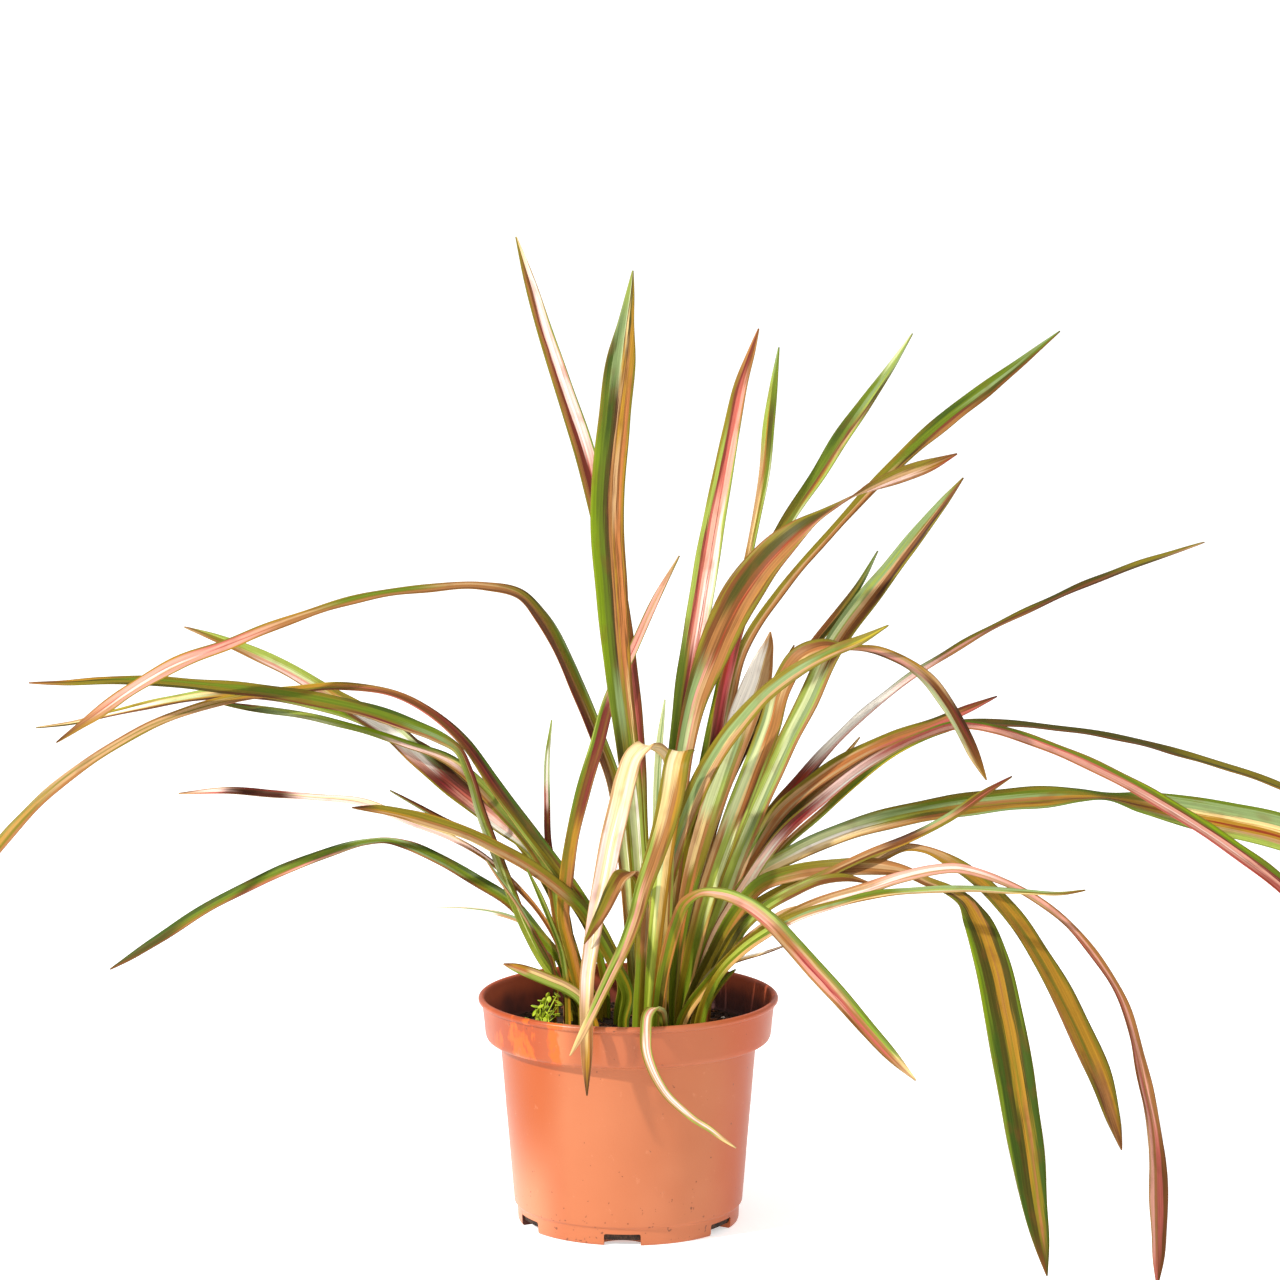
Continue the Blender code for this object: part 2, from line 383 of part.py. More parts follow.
def stations(item):
    """The rows where the blade is given a cross-section, closer together where it turns."""
    fine = smooth_path(route_rows(item), PATH_SAMPLES)
    step = np.diff(seen_point(*fine[:, :3].T), axis=0)
    heading = unit(step)
    turn = np.arccos(np.clip((heading[1:] * heading[:-1]).sum(axis=1), -1, 1))
    pace = np.linalg.norm(step, axis=1) / STATION_LENGTH + np.append(turn, 0) / STATION_TURN
    pace = np.concatenate([[0], np.cumsum(pace)])
    at = np.linspace(0, pace[-1], math.ceil(pace[-1]) + 1)
    return np.stack([np.interp(at, pace, column) for column in fine.T], axis=1)


def blade_lines(item, rows):
    """Three lines of points down the blade: one edge, the midrib and the other edge."""
    points = seen_point(*rows[:, :3].T)
    buried = points[0] - [0, 0, ROOT_DEPTH]
    points = np.concatenate([[buried], points])
    rows = np.concatenate([rows[:1], rows])
    along = unit(np.gradient(points, axis=0))
    along[0] = along[1] = (0, 0, 1)
    sight = unit(points - VIEWPOINT)
    across_view = unit(np.cross(along, sight))
    if item["nods"]:
        width = unit(ACROSS - along * along[:, :1])
    else:
        hand = 1 if rows[-1, 0] > rows[0, 0] else -1
        tilt = np.radians(rows[:, 4] * hand)[:, None]
        level = unit(across_view - along * (across_view * along).sum(axis=1, keepdims=True))
        width = level * np.cos(tilt) - np.cross(along, level) * np.sin(tilt)
    travelled = np.concatenate([[0], np.cumsum(np.linalg.norm(np.diff(points, axis=0), axis=1))])
    opened = ease(travelled / travelled[-1] / OPENS_BY)
    fold = np.radians(ROOT_FOLD + (item["fold"] - ROOT_FOLD) * opened)[:, None]
    spread = width * np.cos(fold)
    lift = np.cross(along, width) * np.sin(fold) / 2
    section = np.stack([spread + lift, -lift, lift - spread], axis=1)
    seen = (section * across_view[:, None, :]).sum(axis=2)
    extent = seen.max(axis=1) - seen.min(axis=1)
    stretch = 1 / np.maximum(extent, 2 * WIDEST_STRETCH)
    stretch[1:-1] = (stretch[:-2] + 2 * stretch[1:-1] + stretch[2:]) / 4
    half = np.maximum(rows[:, 3], TIP_WIDTH) * stretch
    half[-1] = TIP_WIDTH / 2
    middle = (seen.max(axis=1) + seen.min(axis=1)) / 2 * half * ease(travelled / FREE_LENGTH)
    centre = points - across_view * middle[:, None]
    return centre[:, None, :] + section * half[:, None, None]


# Bending crossing blades clear of each other

def covered_cells(lines):
    """The cells of the view that a blade covers, with its nearest and furthest depth and its row in each."""
    count = len(lines)
    along = np.linspace(0, count - 1, (count - 1) * STEPS_ALONG + 1)
    lower = np.minimum(along.astype(int), count - 2)
    part = (along - lower)[:, None, None]
    dense = lines[lower] * (1 - part) + lines[lower + 1] * part
    share = np.linspace(0, 1, STEPS_ACROSS)[None, :, None]
    left = dense[:, :1] * (1 - share) + dense[:, 1:2] * share
    right = dense[:, 1:2] * (1 - share) + dense[:, 2:] * share
    points = np.concatenate([left, right[:, 1:]], axis=1)
    across, up, away = as_seen(points)
    column = ((across - FIELD_LOW[0]) / CELL).astype(int)
    row = ((up - FIELD_LOW[1]) / CELL).astype(int)
    cell = (row * FIELD_CELLS[0] + column).ravel()
    station = np.broadcast_to(np.rint(along).astype(int)[:, None], across.shape).ravel()
    free = station > 1
    cell, away, station = cell[free], away.ravel()[free], station[free]
    order = np.lexsort((away, cell))
    cell, away, station = cell[order], away[order], station[order]
    first = np.flatnonzero(np.diff(cell, prepend=-1))
    last = np.append(first[1:], len(cell)) - 1
    return cell[first], away[first], away[last], station[first]


def crossing_order(leaves):
    """Every leaf's index with the part of the view it is met in, from the nearest to the furthest."""
    order = []
    for index, item in enumerate(leaves):
        start, end = FIELD_LOW[0], -FIELD_LOW[0]
        if item["outer"]:
            limit, rank = item["outer"]
            order.append((rank, index, start, limit))
            start = limit
        order.append((item["root"][1], index, start, end))
    return sorted(order)


def bend_clear(leaves):
    """Moves blades along the line of sight until each passes clear in front of those rooted further back."""
    for item in leaves:
        item["rows"] = stations(item)
    longest = max(len(item["rows"]) for item in leaves) + 1
    cells = FIELD_CELLS[0] * FIELD_CELLS[1]
    order = crossing_order(leaves)
    for _ in range(MOST_ROUNDS):
        front = np.full(cells, -1e6)
        owner = np.zeros(cells, int)
        owner_row = np.zeros(cells, int)
        back = np.zeros((len(leaves), longest))
        forward = np.zeros((len(leaves), longest))
        covered = [covered_cells(blade_lines(item, item["rows"])) for item in leaves]
        for _, index, start, end in order:
            cell, near, far, row = covered[index]
            across = cell % FIELD_CELLS[0] * CELL + FIELD_LOW[0]
            here = (across >= start) & (across < end)
            cell, near, far, row = cell[here], near[here], far[here], row[here]
            short = front[cell] + BLADE_GAP + BLADE_THICKNESS - near
            hit = (short > 0) & (owner[cell] != index)
            np.maximum.at(back, (index, row[hit]), short[hit] / 2)
            np.maximum.at(forward, (owner[cell[hit]], owner_row[cell[hit]]), short[hit] / 2)
            ahead = far > front[cell]
            front[cell[ahead]] = far[ahead]
            owner[cell[ahead]] = index
            owner_row[cell[ahead]] = row[ahead]
        worst = max(back.max(), forward.max()) * 2
        if worst < CLOSE_ENOUGH:
            break
        for index, item in enumerate(leaves):
            spread_push(item, back[index], forward[index])


def spread_push(item, back, forward):
    """Adds the pushes to a leaf's depth, spread smoothly along it and fading to nothing at the soil."""
    rows = item["rows"]
    points = seen_point(*rows[:, :3].T)
    travelled = np.concatenate([[0], np.cumsum(np.linalg.norm(np.diff(points, axis=0), axis=1))])
    near = np.exp(-((travelled[:, None] - travelled[None, :]) / PUSH_REACH) ** 2)
    count = len(rows)
    push = (near * back[1:count + 1]).max(axis=1) - (near * forward[1:count + 1]).max(axis=1)
    rows[:, 2] += push * ease(travelled / FREE_LENGTH)


# Making the objects

def clear_scene():
    for obj in list(bpy.data.objects):
        bpy.data.objects.remove(obj, do_unlink=True)


def new_collection(name, hidden=False):
    collection = bpy.data.collections.new(name)
    collection.hide_render = hidden
    bpy.context.scene.collection.children.link(collection)
    return collection


def material(name, colour, roughness):
    made = bpy.data.materials.get(name) or bpy.data.materials.new(name)
    made.use_nodes = True
    shader = made.node_tree.nodes["Principled BSDF"]
    shader.inputs["Base Color"].default_value = (*colour, 1)
    shader.inputs["Roughness"].default_value = roughness
    shader.inputs["Metallic"].default_value = 0
    made.diffuse_color = (*colour, 1)
    return made


def new_object(name, mesh, collection, colour=None, roughness=0.5):
    obj = bpy.data.objects.new(name, mesh)
    collection.objects.link(obj)
    if colour:
        mesh.materials.append(material(name, colour, roughness))
    return obj


def turned(name, outline, collection, colour=None, roughness=0.5):
    """A solid turned round Z from an outline of (radius, height), given top to bottom down its outer side."""
    mesh = bpy.data.meshes.new(name)
    points = [(r * MM, 0, z * MM) for r, z in outline]
    mesh.from_pydata(points, [(i, i + 1) for i in range(len(points) - 1)], [])
    obj = new_object(name, mesh, collection, colour, roughness)
    screw = obj.modifiers.new("turn", "SCREW")
    screw.steps = screw.render_steps = POT_SIDES
    screw.use_merge_vertices = True
    screw.merge_threshold = 0.00001
    screw.use_smooth_shade = True
    return obj


def cut(obj, cutter):
    modifier = obj.modifiers.new(cutter.name, "BOOLEAN")
    modifier.operation = "DIFFERENCE"
    modifier.solver = "EXACT"
    modifier.object = cutter
    cutter.hide_render = True
    cutter.display_type = "WIRE"


def box_cutter(name, boxes, collection):
    """One cutter made of upright boxes, each given as its centre, its size and its turn about Z."""
    bm = bmesh.new()
    for centre, size, turn in boxes:
        made = bmesh.ops.create_cube(bm, size=MM)["verts"]
        bmesh.ops.scale(bm, vec=size, verts=made)
        spin = np.array([[math.cos(turn), -math.sin(turn)], [math.sin(turn), math.cos(turn)]])
        for vert in made:
            x, y = spin @ (vert.co.x, vert.co.y)
            vert.co = (x + centre[0] * MM, y + centre[1] * MM, vert.co.z + centre[2] * MM)
    mesh = bpy.data.meshes.new(name)
    bm.to_mesh(mesh)
    bm.free()
    return new_object(name, mesh, collection)


def collar_foot():
    """Height of the collar's lower edge."""
    return POT_HEIGHT - COLLAR_HEIGHT


def make_pot(parts, cutters):
    top = POT_HEIGHT
    ledge = collar_foot()
    bead = 2.1
    outline = [(COLLAR_RADIUS + 0.4, top)]
    outline += [(RIM_RADIUS - bead + bead * math.sin(a), top - bead + bead * math.cos(a))
                for a in np.radians((30, 60, 90, 120, 150))]
    outline += [
        (COLLAR_RADIUS, top - 2 * bead - 0.4),
        (COLLAR_FOOT_RADIUS, ledge + 4.5),
        (COLLAR_FOOT_RADIUS - 0.5, ledge + 2.4),
        (COLLAR_FOOT_RADIUS - 1.8, ledge + 1),
        (SHOULDER_RADIUS + 3, ledge),
        (SHOULDER_RADIUS + 0.6, ledge - 0.8),
        (SHOULDER_RADIUS, ledge - 2.4),
        (HEEL_RADIUS, FOOT_HEIGHT + 1.2),
        (HEEL_RADIUS - 0.5, FOOT_HEIGHT),
        (FOOT_RADIUS + 0.5, FOOT_HEIGHT - 0.8),
        (FOOT_RADIUS, FOOT_HEIGHT - 2),
        (FOOT_RADIUS - 0.3, 1.2),
        (FOOT_RADIUS - 1.4, 0),
        (FOOT_RADIUS - FOOT_RING, 0),
        (FOOT_RADIUS - FOOT_RING - 1, BASE_RECESS),
        (CENTRE_BOSS + 1, BASE_RECESS),
        (CENTRE_BOSS, 0),
        (0, 0),
        (0, FLOOR),
        (FOOT_RADIUS - WALL - 1.2, FLOOR),
        (FOOT_RADIUS - WALL, FLOOR + 1),
        (HEEL_RADIUS - WALL, FOOT_HEIGHT + 1.6),
        (SHOULDER_RADIUS - WALL, ledge - 1.2),
        (SHOULDER_RADIUS - WALL + 1.4, ledge + 1),
        (COLLAR_FOOT_RADIUS - WALL - 1.6, ledge + 2.6),
        (COLLAR_FOOT_RADIUS - WALL, ledge + 4.6),
        (COLLAR_RADIUS - WALL, top - 3),
        (COLLAR_RADIUS - WALL + 0.6, top - 0.6),
    ]
    pot = turned("pot", outline + outline[:1], parts, TERRACOTTA, 0.38)
    drains = []
    for index in range(DRAIN_COUNT):
        angle = DRAIN_TURN + index * math.tau / DRAIN_COUNT
        middle = FOOT_RADIUS + 4 - DRAIN_REACH / 2
        centre = (middle * math.cos(angle), middle * math.sin(angle), DRAIN_HEIGHT / 2 - 2)
        drains.append((centre, (DRAIN_REACH, DRAIN_WIDTH, DRAIN_HEIGHT + 4), angle))
    cut(pot, box_cutter("drain_cutter", drains, cutters))
    return pot


def root_box(item):
    """The plain upright hole that a leaf's folded foot stands in."""
    foot = blade_lines(item, item["rows"])[:2].reshape(-1, 3)
    low, high = foot.min(axis=0), foot.max(axis=0)
    room = BLADE_THICKNESS / 2 + CLEARANCE
    size = high - low + 2 * room
    centre = (low + high) / 2
    depth = ROOT_DEPTH + CLEARANCE + HOLE_RISE
    middle = SOIL_LEVEL - ROOT_DEPTH - CLEARANCE + depth / 2
    return (centre[0], centre[1], middle), (size[0], size[1], depth), 0


def make_soil(parts, cutters, feet):
    ledge = collar_foot()
    outline = [
        (0, SOIL_LEVEL + SOIL_CROWN / 2),
        (40, SOIL_LEVEL + SOIL_CROWN / 3),
        (72, SOIL_LEVEL),
        (COLLAR_FOOT_RADIUS - WALL - CLEARANCE - 1.6, SOIL_LEVEL),
        (COLLAR_FOOT_RADIUS - WALL - CLEARANCE - 2.4, ledge + 2.9),
        (SHOULDER_RADIUS - WALL + 1.4, ledge + 1.4),
        (SHOULDER_RADIUS - WALL - CLEARANCE, ledge - 1),
        (HEEL_RADIUS - WALL - CLEARANCE, FOOT_HEIGHT + 1.6),
        (FOOT_RADIUS - WALL - CLEARANCE, FLOOR + 1.2),
        (FOOT_RADIUS - WALL - 1.6, FLOOR + CLEARANCE),
        (0, FLOOR + CLEARANCE),
    ]
    soil = turned("soil", outline, parts, PEAT, 0.95)
    cut(soil, box_cutter("root_cutter", feet, cutters))
    return soil


def make_leaf(item, parts):
    lines = blade_lines(item, item["rows"])
    bm = bmesh.new()
    bmesh.ops.create_grid(bm, x_segments=2, y_segments=len(lines) - 1, size=1)
    bm.verts.ensure_lookup_table()
    for vert, point in zip(bm.verts, lines.reshape(-1, 3)):
        vert.co = point * MM
    bmesh.ops.triangulate(bm, faces=bm.faces, quad_method="FIXED")
    mesh = bpy.data.meshes.new(item["name"])
    bm.to_mesh(mesh)
    bm.free()
    obj = new_object(item["name"], mesh, parts, item["colour"], 0.42)
    solidify = obj.modifiers.new("thickness", "SOLIDIFY")
    solidify.thickness = BLADE_THICKNESS * MM
    solidify.offset = 0
    mesh.shade_smooth()
    return obj


def make_seedling(name, place, parts):
    """A weed: a thin stem that flares at the top into a ring of small leaves."""
    x, y, height, reach = place
    lobe = ((0.16, 0.0), (0.75, 0.35), (1.0, 0.5), (0.75, 0.65))
    turns = [(turn + share) * math.tau / SEEDLING_LEAVES
             for turn in range(SEEDLING_LEAVES) for _, share in lobe]
    flare = [SEEDLING_STEM + reach * (out - 0.16) for _ in range(SEEDLING_LEAVES) for out, _ in lobe]
    stem = [SEEDLING_STEM] * len(flare)
    rings = [
        (-SEEDLING_DEPTH, stem, 0),
        (height - 3, stem, 0),
        (height - 1, flare, 0.3),
        (height - 1 + SEEDLING_BLADE, flare, 0.3),
    ]
    bm = bmesh.new()
    loops = []
    for up, out, rise in rings:
        loops.append([bm.verts.new(((x + r * math.cos(a)) * MM, (y + r * math.sin(a)) * MM,
                                    (SOIL_LEVEL + up + rise * r) * MM)) for r, a in zip(out, turns)])
    count = len(flare)
    for lower, upper in zip(loops, loops[1:]):
        for i in range(count):
            j = (i + 1) % count
            bm.faces.new((lower[i], lower[j], upper[j], upper[i]))
    foot = bm.verts.new((x * MM, y * MM, (SOIL_LEVEL - SEEDLING_DEPTH) * MM))
    crown = bm.verts.new((x * MM, y * MM, (SOIL_LEVEL + height) * MM))
    for i in range(count):
        j = (i + 1) % count
        bm.faces.new((foot, loops[0][j], loops[0][i]))
        bm.faces.new((crown, loops[-1][i], loops[-1][j]))
    mesh = bpy.data.meshes.new(name)
    bm.to_mesh(mesh)
    bm.free()
    return new_object(name, mesh, parts, SEEDLING_GREEN, 0.5)


def make_twig(parts):
    """A bit of twig that lies on the soil."""
    start = np.array([*TWIG_START, SOIL_LEVEL + TWIG_RADIUS + CLEARANCE + 0.6])
    end = np.array([*TWIG_END, SOIL_LEVEL + TWIG_RADIUS + CLEARANCE + 0.6])
    bm = bmesh.new()
    bmesh.ops.create_cone(bm, cap_ends=True, segments=8, radius1=TWIG_RADIUS * MM,
                          radius2=TWIG_RADIUS * 0.7 * MM, depth=float(np.linalg.norm(end - start)) * MM)
    heading = unit(end - start)
    side = unit(np.cross((0, 0, 1), heading))
    up = np.cross(heading, side)
    for vert in bm.verts:
        vert.co = (start + end) / 2 * MM + side * vert.co.x + up * vert.co.y + heading * vert.co.z
    mesh = bpy.data.meshes.new("twig")
    bm.to_mesh(mesh)
    bm.free()
    return new_object("twig", mesh, parts, BARK, 0.8)


def main():
    clear_scene()
    parts = new_collection("potted_new_zealand_flax")
    cutters = new_collection("cutters", hidden=True)
    bend_clear(LEAVES)
    for item in LEAVES:
        make_leaf(item, parts)
    make_pot(parts, cutters)
    feet = [root_box(item) for item in LEAVES]
    for name, place in SEEDLINGS.items():
        make_seedling(name, place, parts)
        hole = 2 * (SEEDLING_STEM + CLEARANCE)
        depth = SEEDLING_DEPTH + CLEARANCE + HOLE_RISE
        feet.append(((place[0], place[1], SOIL_LEVEL - SEEDLING_DEPTH - CLEARANCE + depth / 2),
                     (hole, hole, depth), 0))
    make_twig(parts)
    make_soil(parts, cutters, feet)


main()
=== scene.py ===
# %% [markdown]
# # A potted New Zealand flax
# A young New Zealand flax (Phormium) is a fan of strap leaves, striped green, bronze, pink and cream, in a
# plain terracotta-coloured nursery pot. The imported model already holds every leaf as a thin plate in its
# right place. This lesson loads that model, keeps its places and sizes, and gives each piece its fine shape
# and finish.

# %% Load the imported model
import math

import bmesh
import bpy
import numpy as np
from mathutils import Matrix, Vector, noise


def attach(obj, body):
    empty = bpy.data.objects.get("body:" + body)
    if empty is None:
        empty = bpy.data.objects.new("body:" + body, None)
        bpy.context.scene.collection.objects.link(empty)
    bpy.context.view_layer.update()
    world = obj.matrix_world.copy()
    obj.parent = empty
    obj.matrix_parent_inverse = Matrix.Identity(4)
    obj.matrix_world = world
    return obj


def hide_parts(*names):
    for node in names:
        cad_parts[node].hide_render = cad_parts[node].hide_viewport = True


MM = 0.001
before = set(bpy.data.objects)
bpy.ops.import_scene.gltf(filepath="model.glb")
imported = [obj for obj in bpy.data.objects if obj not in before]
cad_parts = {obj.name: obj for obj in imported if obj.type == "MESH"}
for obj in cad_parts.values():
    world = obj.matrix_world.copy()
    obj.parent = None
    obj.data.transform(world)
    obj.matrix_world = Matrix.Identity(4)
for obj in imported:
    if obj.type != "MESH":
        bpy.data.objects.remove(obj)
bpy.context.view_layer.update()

# %% [markdown]
# Materials here are trees of nodes, and adding a node and joining it up takes a few calls. A small class does
# it: it adds nodes, fills their inputs, and lays one coat of paint over another, as a painter would. Colours
# are named in a maker's words and written as a screen shows them, because that is how a paint chart is read;
# Blender works in linear light, so they are converted once.

# %% Helpers for materials
def linear(*screen):
    """A colour given as a screen shows it, 0 to 255, in the linear light that Blender works in."""
    return (*(((c / 255 + 0.055) / 1.055) ** 2.4 if c > 10 else c / 255 / 12.92 for c in screen), 1)


def set_all(thing, **settings):
    """Changes several of a thing's settings."""
    for name, value in settings.items():
        setattr(thing, name, value)


class Finish:
    """A new material that is built up in coats."""

    def __init__(self, name, roughness, specular):
        self.material = bpy.data.materials.new(name)
        self.material.use_nodes = True
        self.tree = self.material.node_tree
        self.shader = self.tree.nodes["Principled BSDF"]
        self.fill(self.shader, {"Roughness": roughness, "Specular IOR Level": specular})

    def fill(self, node, inputs):
        """Fills a node's inputs; one that is given as a socket is joined up."""
        for name, value in inputs.items():
            if isinstance(value, bpy.types.NodeSocket):
                self.tree.links.new(value, node.inputs[name])
            else:
                node.inputs[name].default_value = value

    def add(self, kind, inputs=None, **settings):
        """A new node's outputs."""
        node = self.tree.nodes.new("ShaderNode" + kind)
        set_all(node, **settings)
        self.fill(node, inputs or {})
        return node.outputs

    def own_place(self):
        """The place on the piece in its own coordinates, which are the model's."""
        return self.add("TexCoord")["Object"]

    def mix(self, share, first, second, way="MIX"):
        """The first colour going over to the second by a share."""
        return self.add("Mix", {0: share, 6: first, 7: second}, data_type="RGBA", blend_type=way)[2]

    def maths(self, what, first, second=0.0, third=0.0):
        return self.add("Math", {0: first, 1: second, 2: third}, operation=what)[0]

    def times(self, first, second):
        return self.maths("MULTIPLY", first, second)

    def scaled(self, value, factor, more):
        """The value times a factor, and something more."""
        return self.maths("MULTIPLY_ADD", value, factor, more)

    def rising(self, value, low, high):
        """0 at low, 1 at high and smooth in between; low may be the larger of the two."""
        return self.add("MapRange", {0: value, 1: low, 2: high}, interpolation_type="SMOOTHSTEP")[0]

    def cloudy(self, place, scale, detail=3.0, rough=0.5, stretch=(1, 1, 1)):
        """Noise from 0 to 1, stretched by a Mapping node."""
        spread = self.add("Mapping", {"Vector": place, "Scale": stretch})[0]
        settings = {"Vector": spread, "Scale": scale, "Detail": detail, "Roughness": rough}
        return self.add("TexNoise", settings)[0]

    def coat(self, share, paint, strength=None, way="MIX"):
        """Lays a paint over the colour so far."""
        share = share if strength is None else self.times(share, strength)
        self.colour = self.mix(share, self.colour, paint, way)

    def complete(self, relief=None, depth=0.0, roughness=None):
        """The material with its colour, its roughness and relief from 0 to 1 that is so many metres deep."""
        joined = {"Base Color": self.colour}
        if roughness is not None:
            joined["Roughness"] = roughness
        if relief is not None:
            joined["Normal"] = self.add("Bump", {"Height": relief, "Distance": depth, "Strength": 1.0})[0]
        self.fill(self.shader, joined)
        return self.material


# %% Helpers for pieces
def as_mesh(bm, name, smooth=True):
    """The bmesh as a mesh, with smooth or flat faces. It frees the bmesh."""
    for face in bm.faces:
        face.smooth = smooth
    mesh = bpy.data.meshes.new(name)
    bm.to_mesh(mesh)
    bm.free()
    return mesh


def in_scene(name, data, **settings):
    """A new object with its settings, linked to the scene."""
    obj = bpy.data.objects.new(name, data)
    set_all(obj, **settings)
    bpy.context.scene.collection.objects.link(obj)
    return obj


def keep(name, mesh, stands_for, finish):
    """A finished piece: its object sits at the origin, rides on the root body and stands for CAD nodes."""
    obj = in_scene(name, mesh)
    mesh.materials.clear()
    mesh.materials.append(finish)
    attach(obj, "root")
    if stands_for:
        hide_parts(*stands_for)
    return obj


# %% [markdown]
# ## Where the leaves go
# A strap leaf is a ribbon on a curved line. Each row of its route says how far across and how far up a point
# is on the plane through the pot's axis, how far behind that plane it lies, how wide the leaf looks there,
# and in a few rows how far its face is turned up. The rows were read off the photograph, with a ruler on
# that plane, and where a leaf shows free against the white they were corrected by measuring its middle and
# its width. The depths were chosen. Working along the line of sight keeps each leaf where the photograph
# shows it, whatever its depth. This is the same table that the imported solids were made from, so the fine
# blades fall on them.

# %% Sizes that the imported solids were made with
SOIL_LEVEL = 120
ROOT_DEPTH = 12
BLADE_THICKNESS = 0.8
TIP_WIDTH = 1.0
ROOT_WIDTH = 7
SLIM_WIDTH = 5
ROOT_FOLD = 35
UPRIGHT_FOOT = 7
FREE_LENGTH = 30
BLADE_FOLD = 14
OPENS_BY = 0.4
WIDEST_STRETCH = 0.6
STATION_LENGTH = 32
STATION_TURN = math.radians(19)
PATH_SAMPLES = 300
VIEWPOINT = np.array([7.4, -3000.0, 817.2])
ACROSS = np.array([1.0, 0.0, 0.0])
BLADE_GAP = 1.7
CELL = 2.0
STEPS_ALONG = 14
STEPS_ACROSS = 7
FIELD_LOW = np.array([-560.0, -120.0])
FIELD_CELLS = (640, 420)
PUSH_REACH = 45
MOST_ROUNDS = 160
CLOSE_ENOUGH = 0.05
EMPTY_DEPTH = -1e6
FOOT_ROWS = 1
LEAVES = []


def leaf(name, root, tilt, slot, route, fold=BLADE_FOLD, nods=False, outer=None):
    """One leaf: where it leaves the soil, how far its face is turned up, and the rows of its route."""
    rows = [[float(number) for number in row.split()] for row in route.split(",")]
    LEAVES.append(dict(name="leaf_" + name, root=root, tilt=tilt, slot="leaf_" + slot, route=rows, fold=fold,
                       nods=nods, outer=outer))


# %% The leaves in the middle, from the nearest root to the furthest
leaf("small_over_rim", (22, -50), 0, "cream", """
  22 131 -64 5, 20 135 -76 4.5, 15.5 136 -86 5, 12 131 -95 6.5, 11 120 -100 7, 11.5 108 -102 6.5,
  14 99 -102.5 6, 18.5 89 -103 5.5, 25 79 -104 5, 33 71 -106 4.5, 42 63.5 -108 4, 52 57 -110 3.5,
  61 50 -112 2.5, 68.5 45 -114 1""", nods=True)
leaf("kinked_front_right", (18, -41), 10, "pink", """
  20.5 148 -42 7, 24.5 170 -44 8, 30 190 -48 8, 36 204 -54 7, 45 210 -60 5.5, 58 210 -68 7, 74 204 -80 9,
  90 192 -94 10.5, 103 178 -106 11, 118 161 -120 11.5, 135 142 -136 11, 153 121 -152 9.5, 169 103 -166 7,
  182.5 89 -178 1""")
leaf("folded_yellow", (13, -30), 0, "ochre", """
  17 180 -26 9, 23 235 -24 11, 29 276 -23 12, 32.5 297 -26 12, 33 301.5 -32 13, 31 296 -39 15,
  28 278 -45 16, 23 255 -50 14.5, 17 235 -54 12.5, 9.5 213 -60 10.5, 5 196 -66 9.5, -1 179 -74 8.5,
  -10 160 -87 7.5, -18 143 -100 6.5, -25 128 -108 5.5, -31 116 -110 4, -37 105 -111 1""", nods=True)
leaf("short_brown", (6, -22), 0, "bronze", """
  8 170 -22 6, 9 202 -23 7, 7.5 217 -26 6, 2 224 -31 6, -4 222 -37 8.5, -10 212 -44 9.5, -16 199 -52 8,
  -22 188 -59 5.5, -28 177.5 -66 1""", nods=True)
leaf("straw_arch", (20, -16), 0, "straw", """
  22 170 -12 9, 24 235 -8 10, 26 280 -7 9, 25 297 -10 7, 18 304 -16 6.5, 11 305 -22 8, 4 299 -27 11,
  -1 285 -31 13.5, -5.5 266 -35 14, -10.5 245 -39 14, -15 222 -44 13, -20 198 -54 11, -24 172 -71 9.5,
  -26 156 -85 9, -26.5 140 -95 8.5, -26.5 125 -99.5 8, -26.5 105 -101 7, -26.3 79 -103 1""", nods=True)
leaf("arching_green", (14, -6), 30, "green", """
  15 160 -6 10, 18 196 -7 11.5, 25 225 -9 12, 33 251 -12 12.5, 43 276 -15 12.5, 55 299 -19 12,
  70 320 -24 11, 89 340 -30 10, 108 354 -35 8.5, 127 364 -39 7.5, 146 372 -42 5.5, 163 381 -44 1""")
leaf("broad_upright", (8, 3), 12, "green", """
  9 160 4 9, 6 230 5 11, 0 300 5 14, -6 350 3 16.5, -10 400 0 20, -13 450 -3 21, -8.5 510 -7 20,
  -4 550 -10 17.5, -1 572 -12 10, 1.5 590 -13 5, 3 603 -14 1""")
leaf("pale_sliver", (16, 10), 20, "green", """
  16 170 12 5, 17.5 240 18 5, 18 280 22 4.5, 20 310 26 4, 23 334 30 1""")
leaf("tall_left", (12, 17), 12, "cream", """
  12 170 19 9, 7.5 240 23 11, 4 308 28 13, -3 370 33 14, -12.5 430 38 14, -27 490 44 13.5, -41 533 48 11.5,
  -53 570 52 9.5, -62 600 55 6.5, -69.3 624 58 1""")
leaf("crimson_upright", (20, 28), 15, "crimson", """
  18 160 28 9, 24 230 28 11, 32 305 26 13, 37 345 24 15, 43.5 385 22 15.5, 49 420 18 15.5, 56 460 14 13.5,
  63.5 500 9 11, 70 532 5 8.3, 77 554 2 4.5, 81 567 0 1""")
leaf("long_arch_left", (4, 45), 52, "bronze", """
  2 180 48 8, -3 240 52 9, -9 282 55 9.5, -23 320 58 9.5, -38.5 357.5 60 9.5, -54.5 387 61 8.5,
  -66.5 400 60 7, -91 406 58 5, -125 404.5 54 5, -160 400 49 5, -205 387 42 5.5, -247.5 370.5 35 7,
  -290 353.5 29 8.6, -314 339 26 8, -335 324 23 6.5, -359.5 306.5 20 1""", outer=(-225, 10))

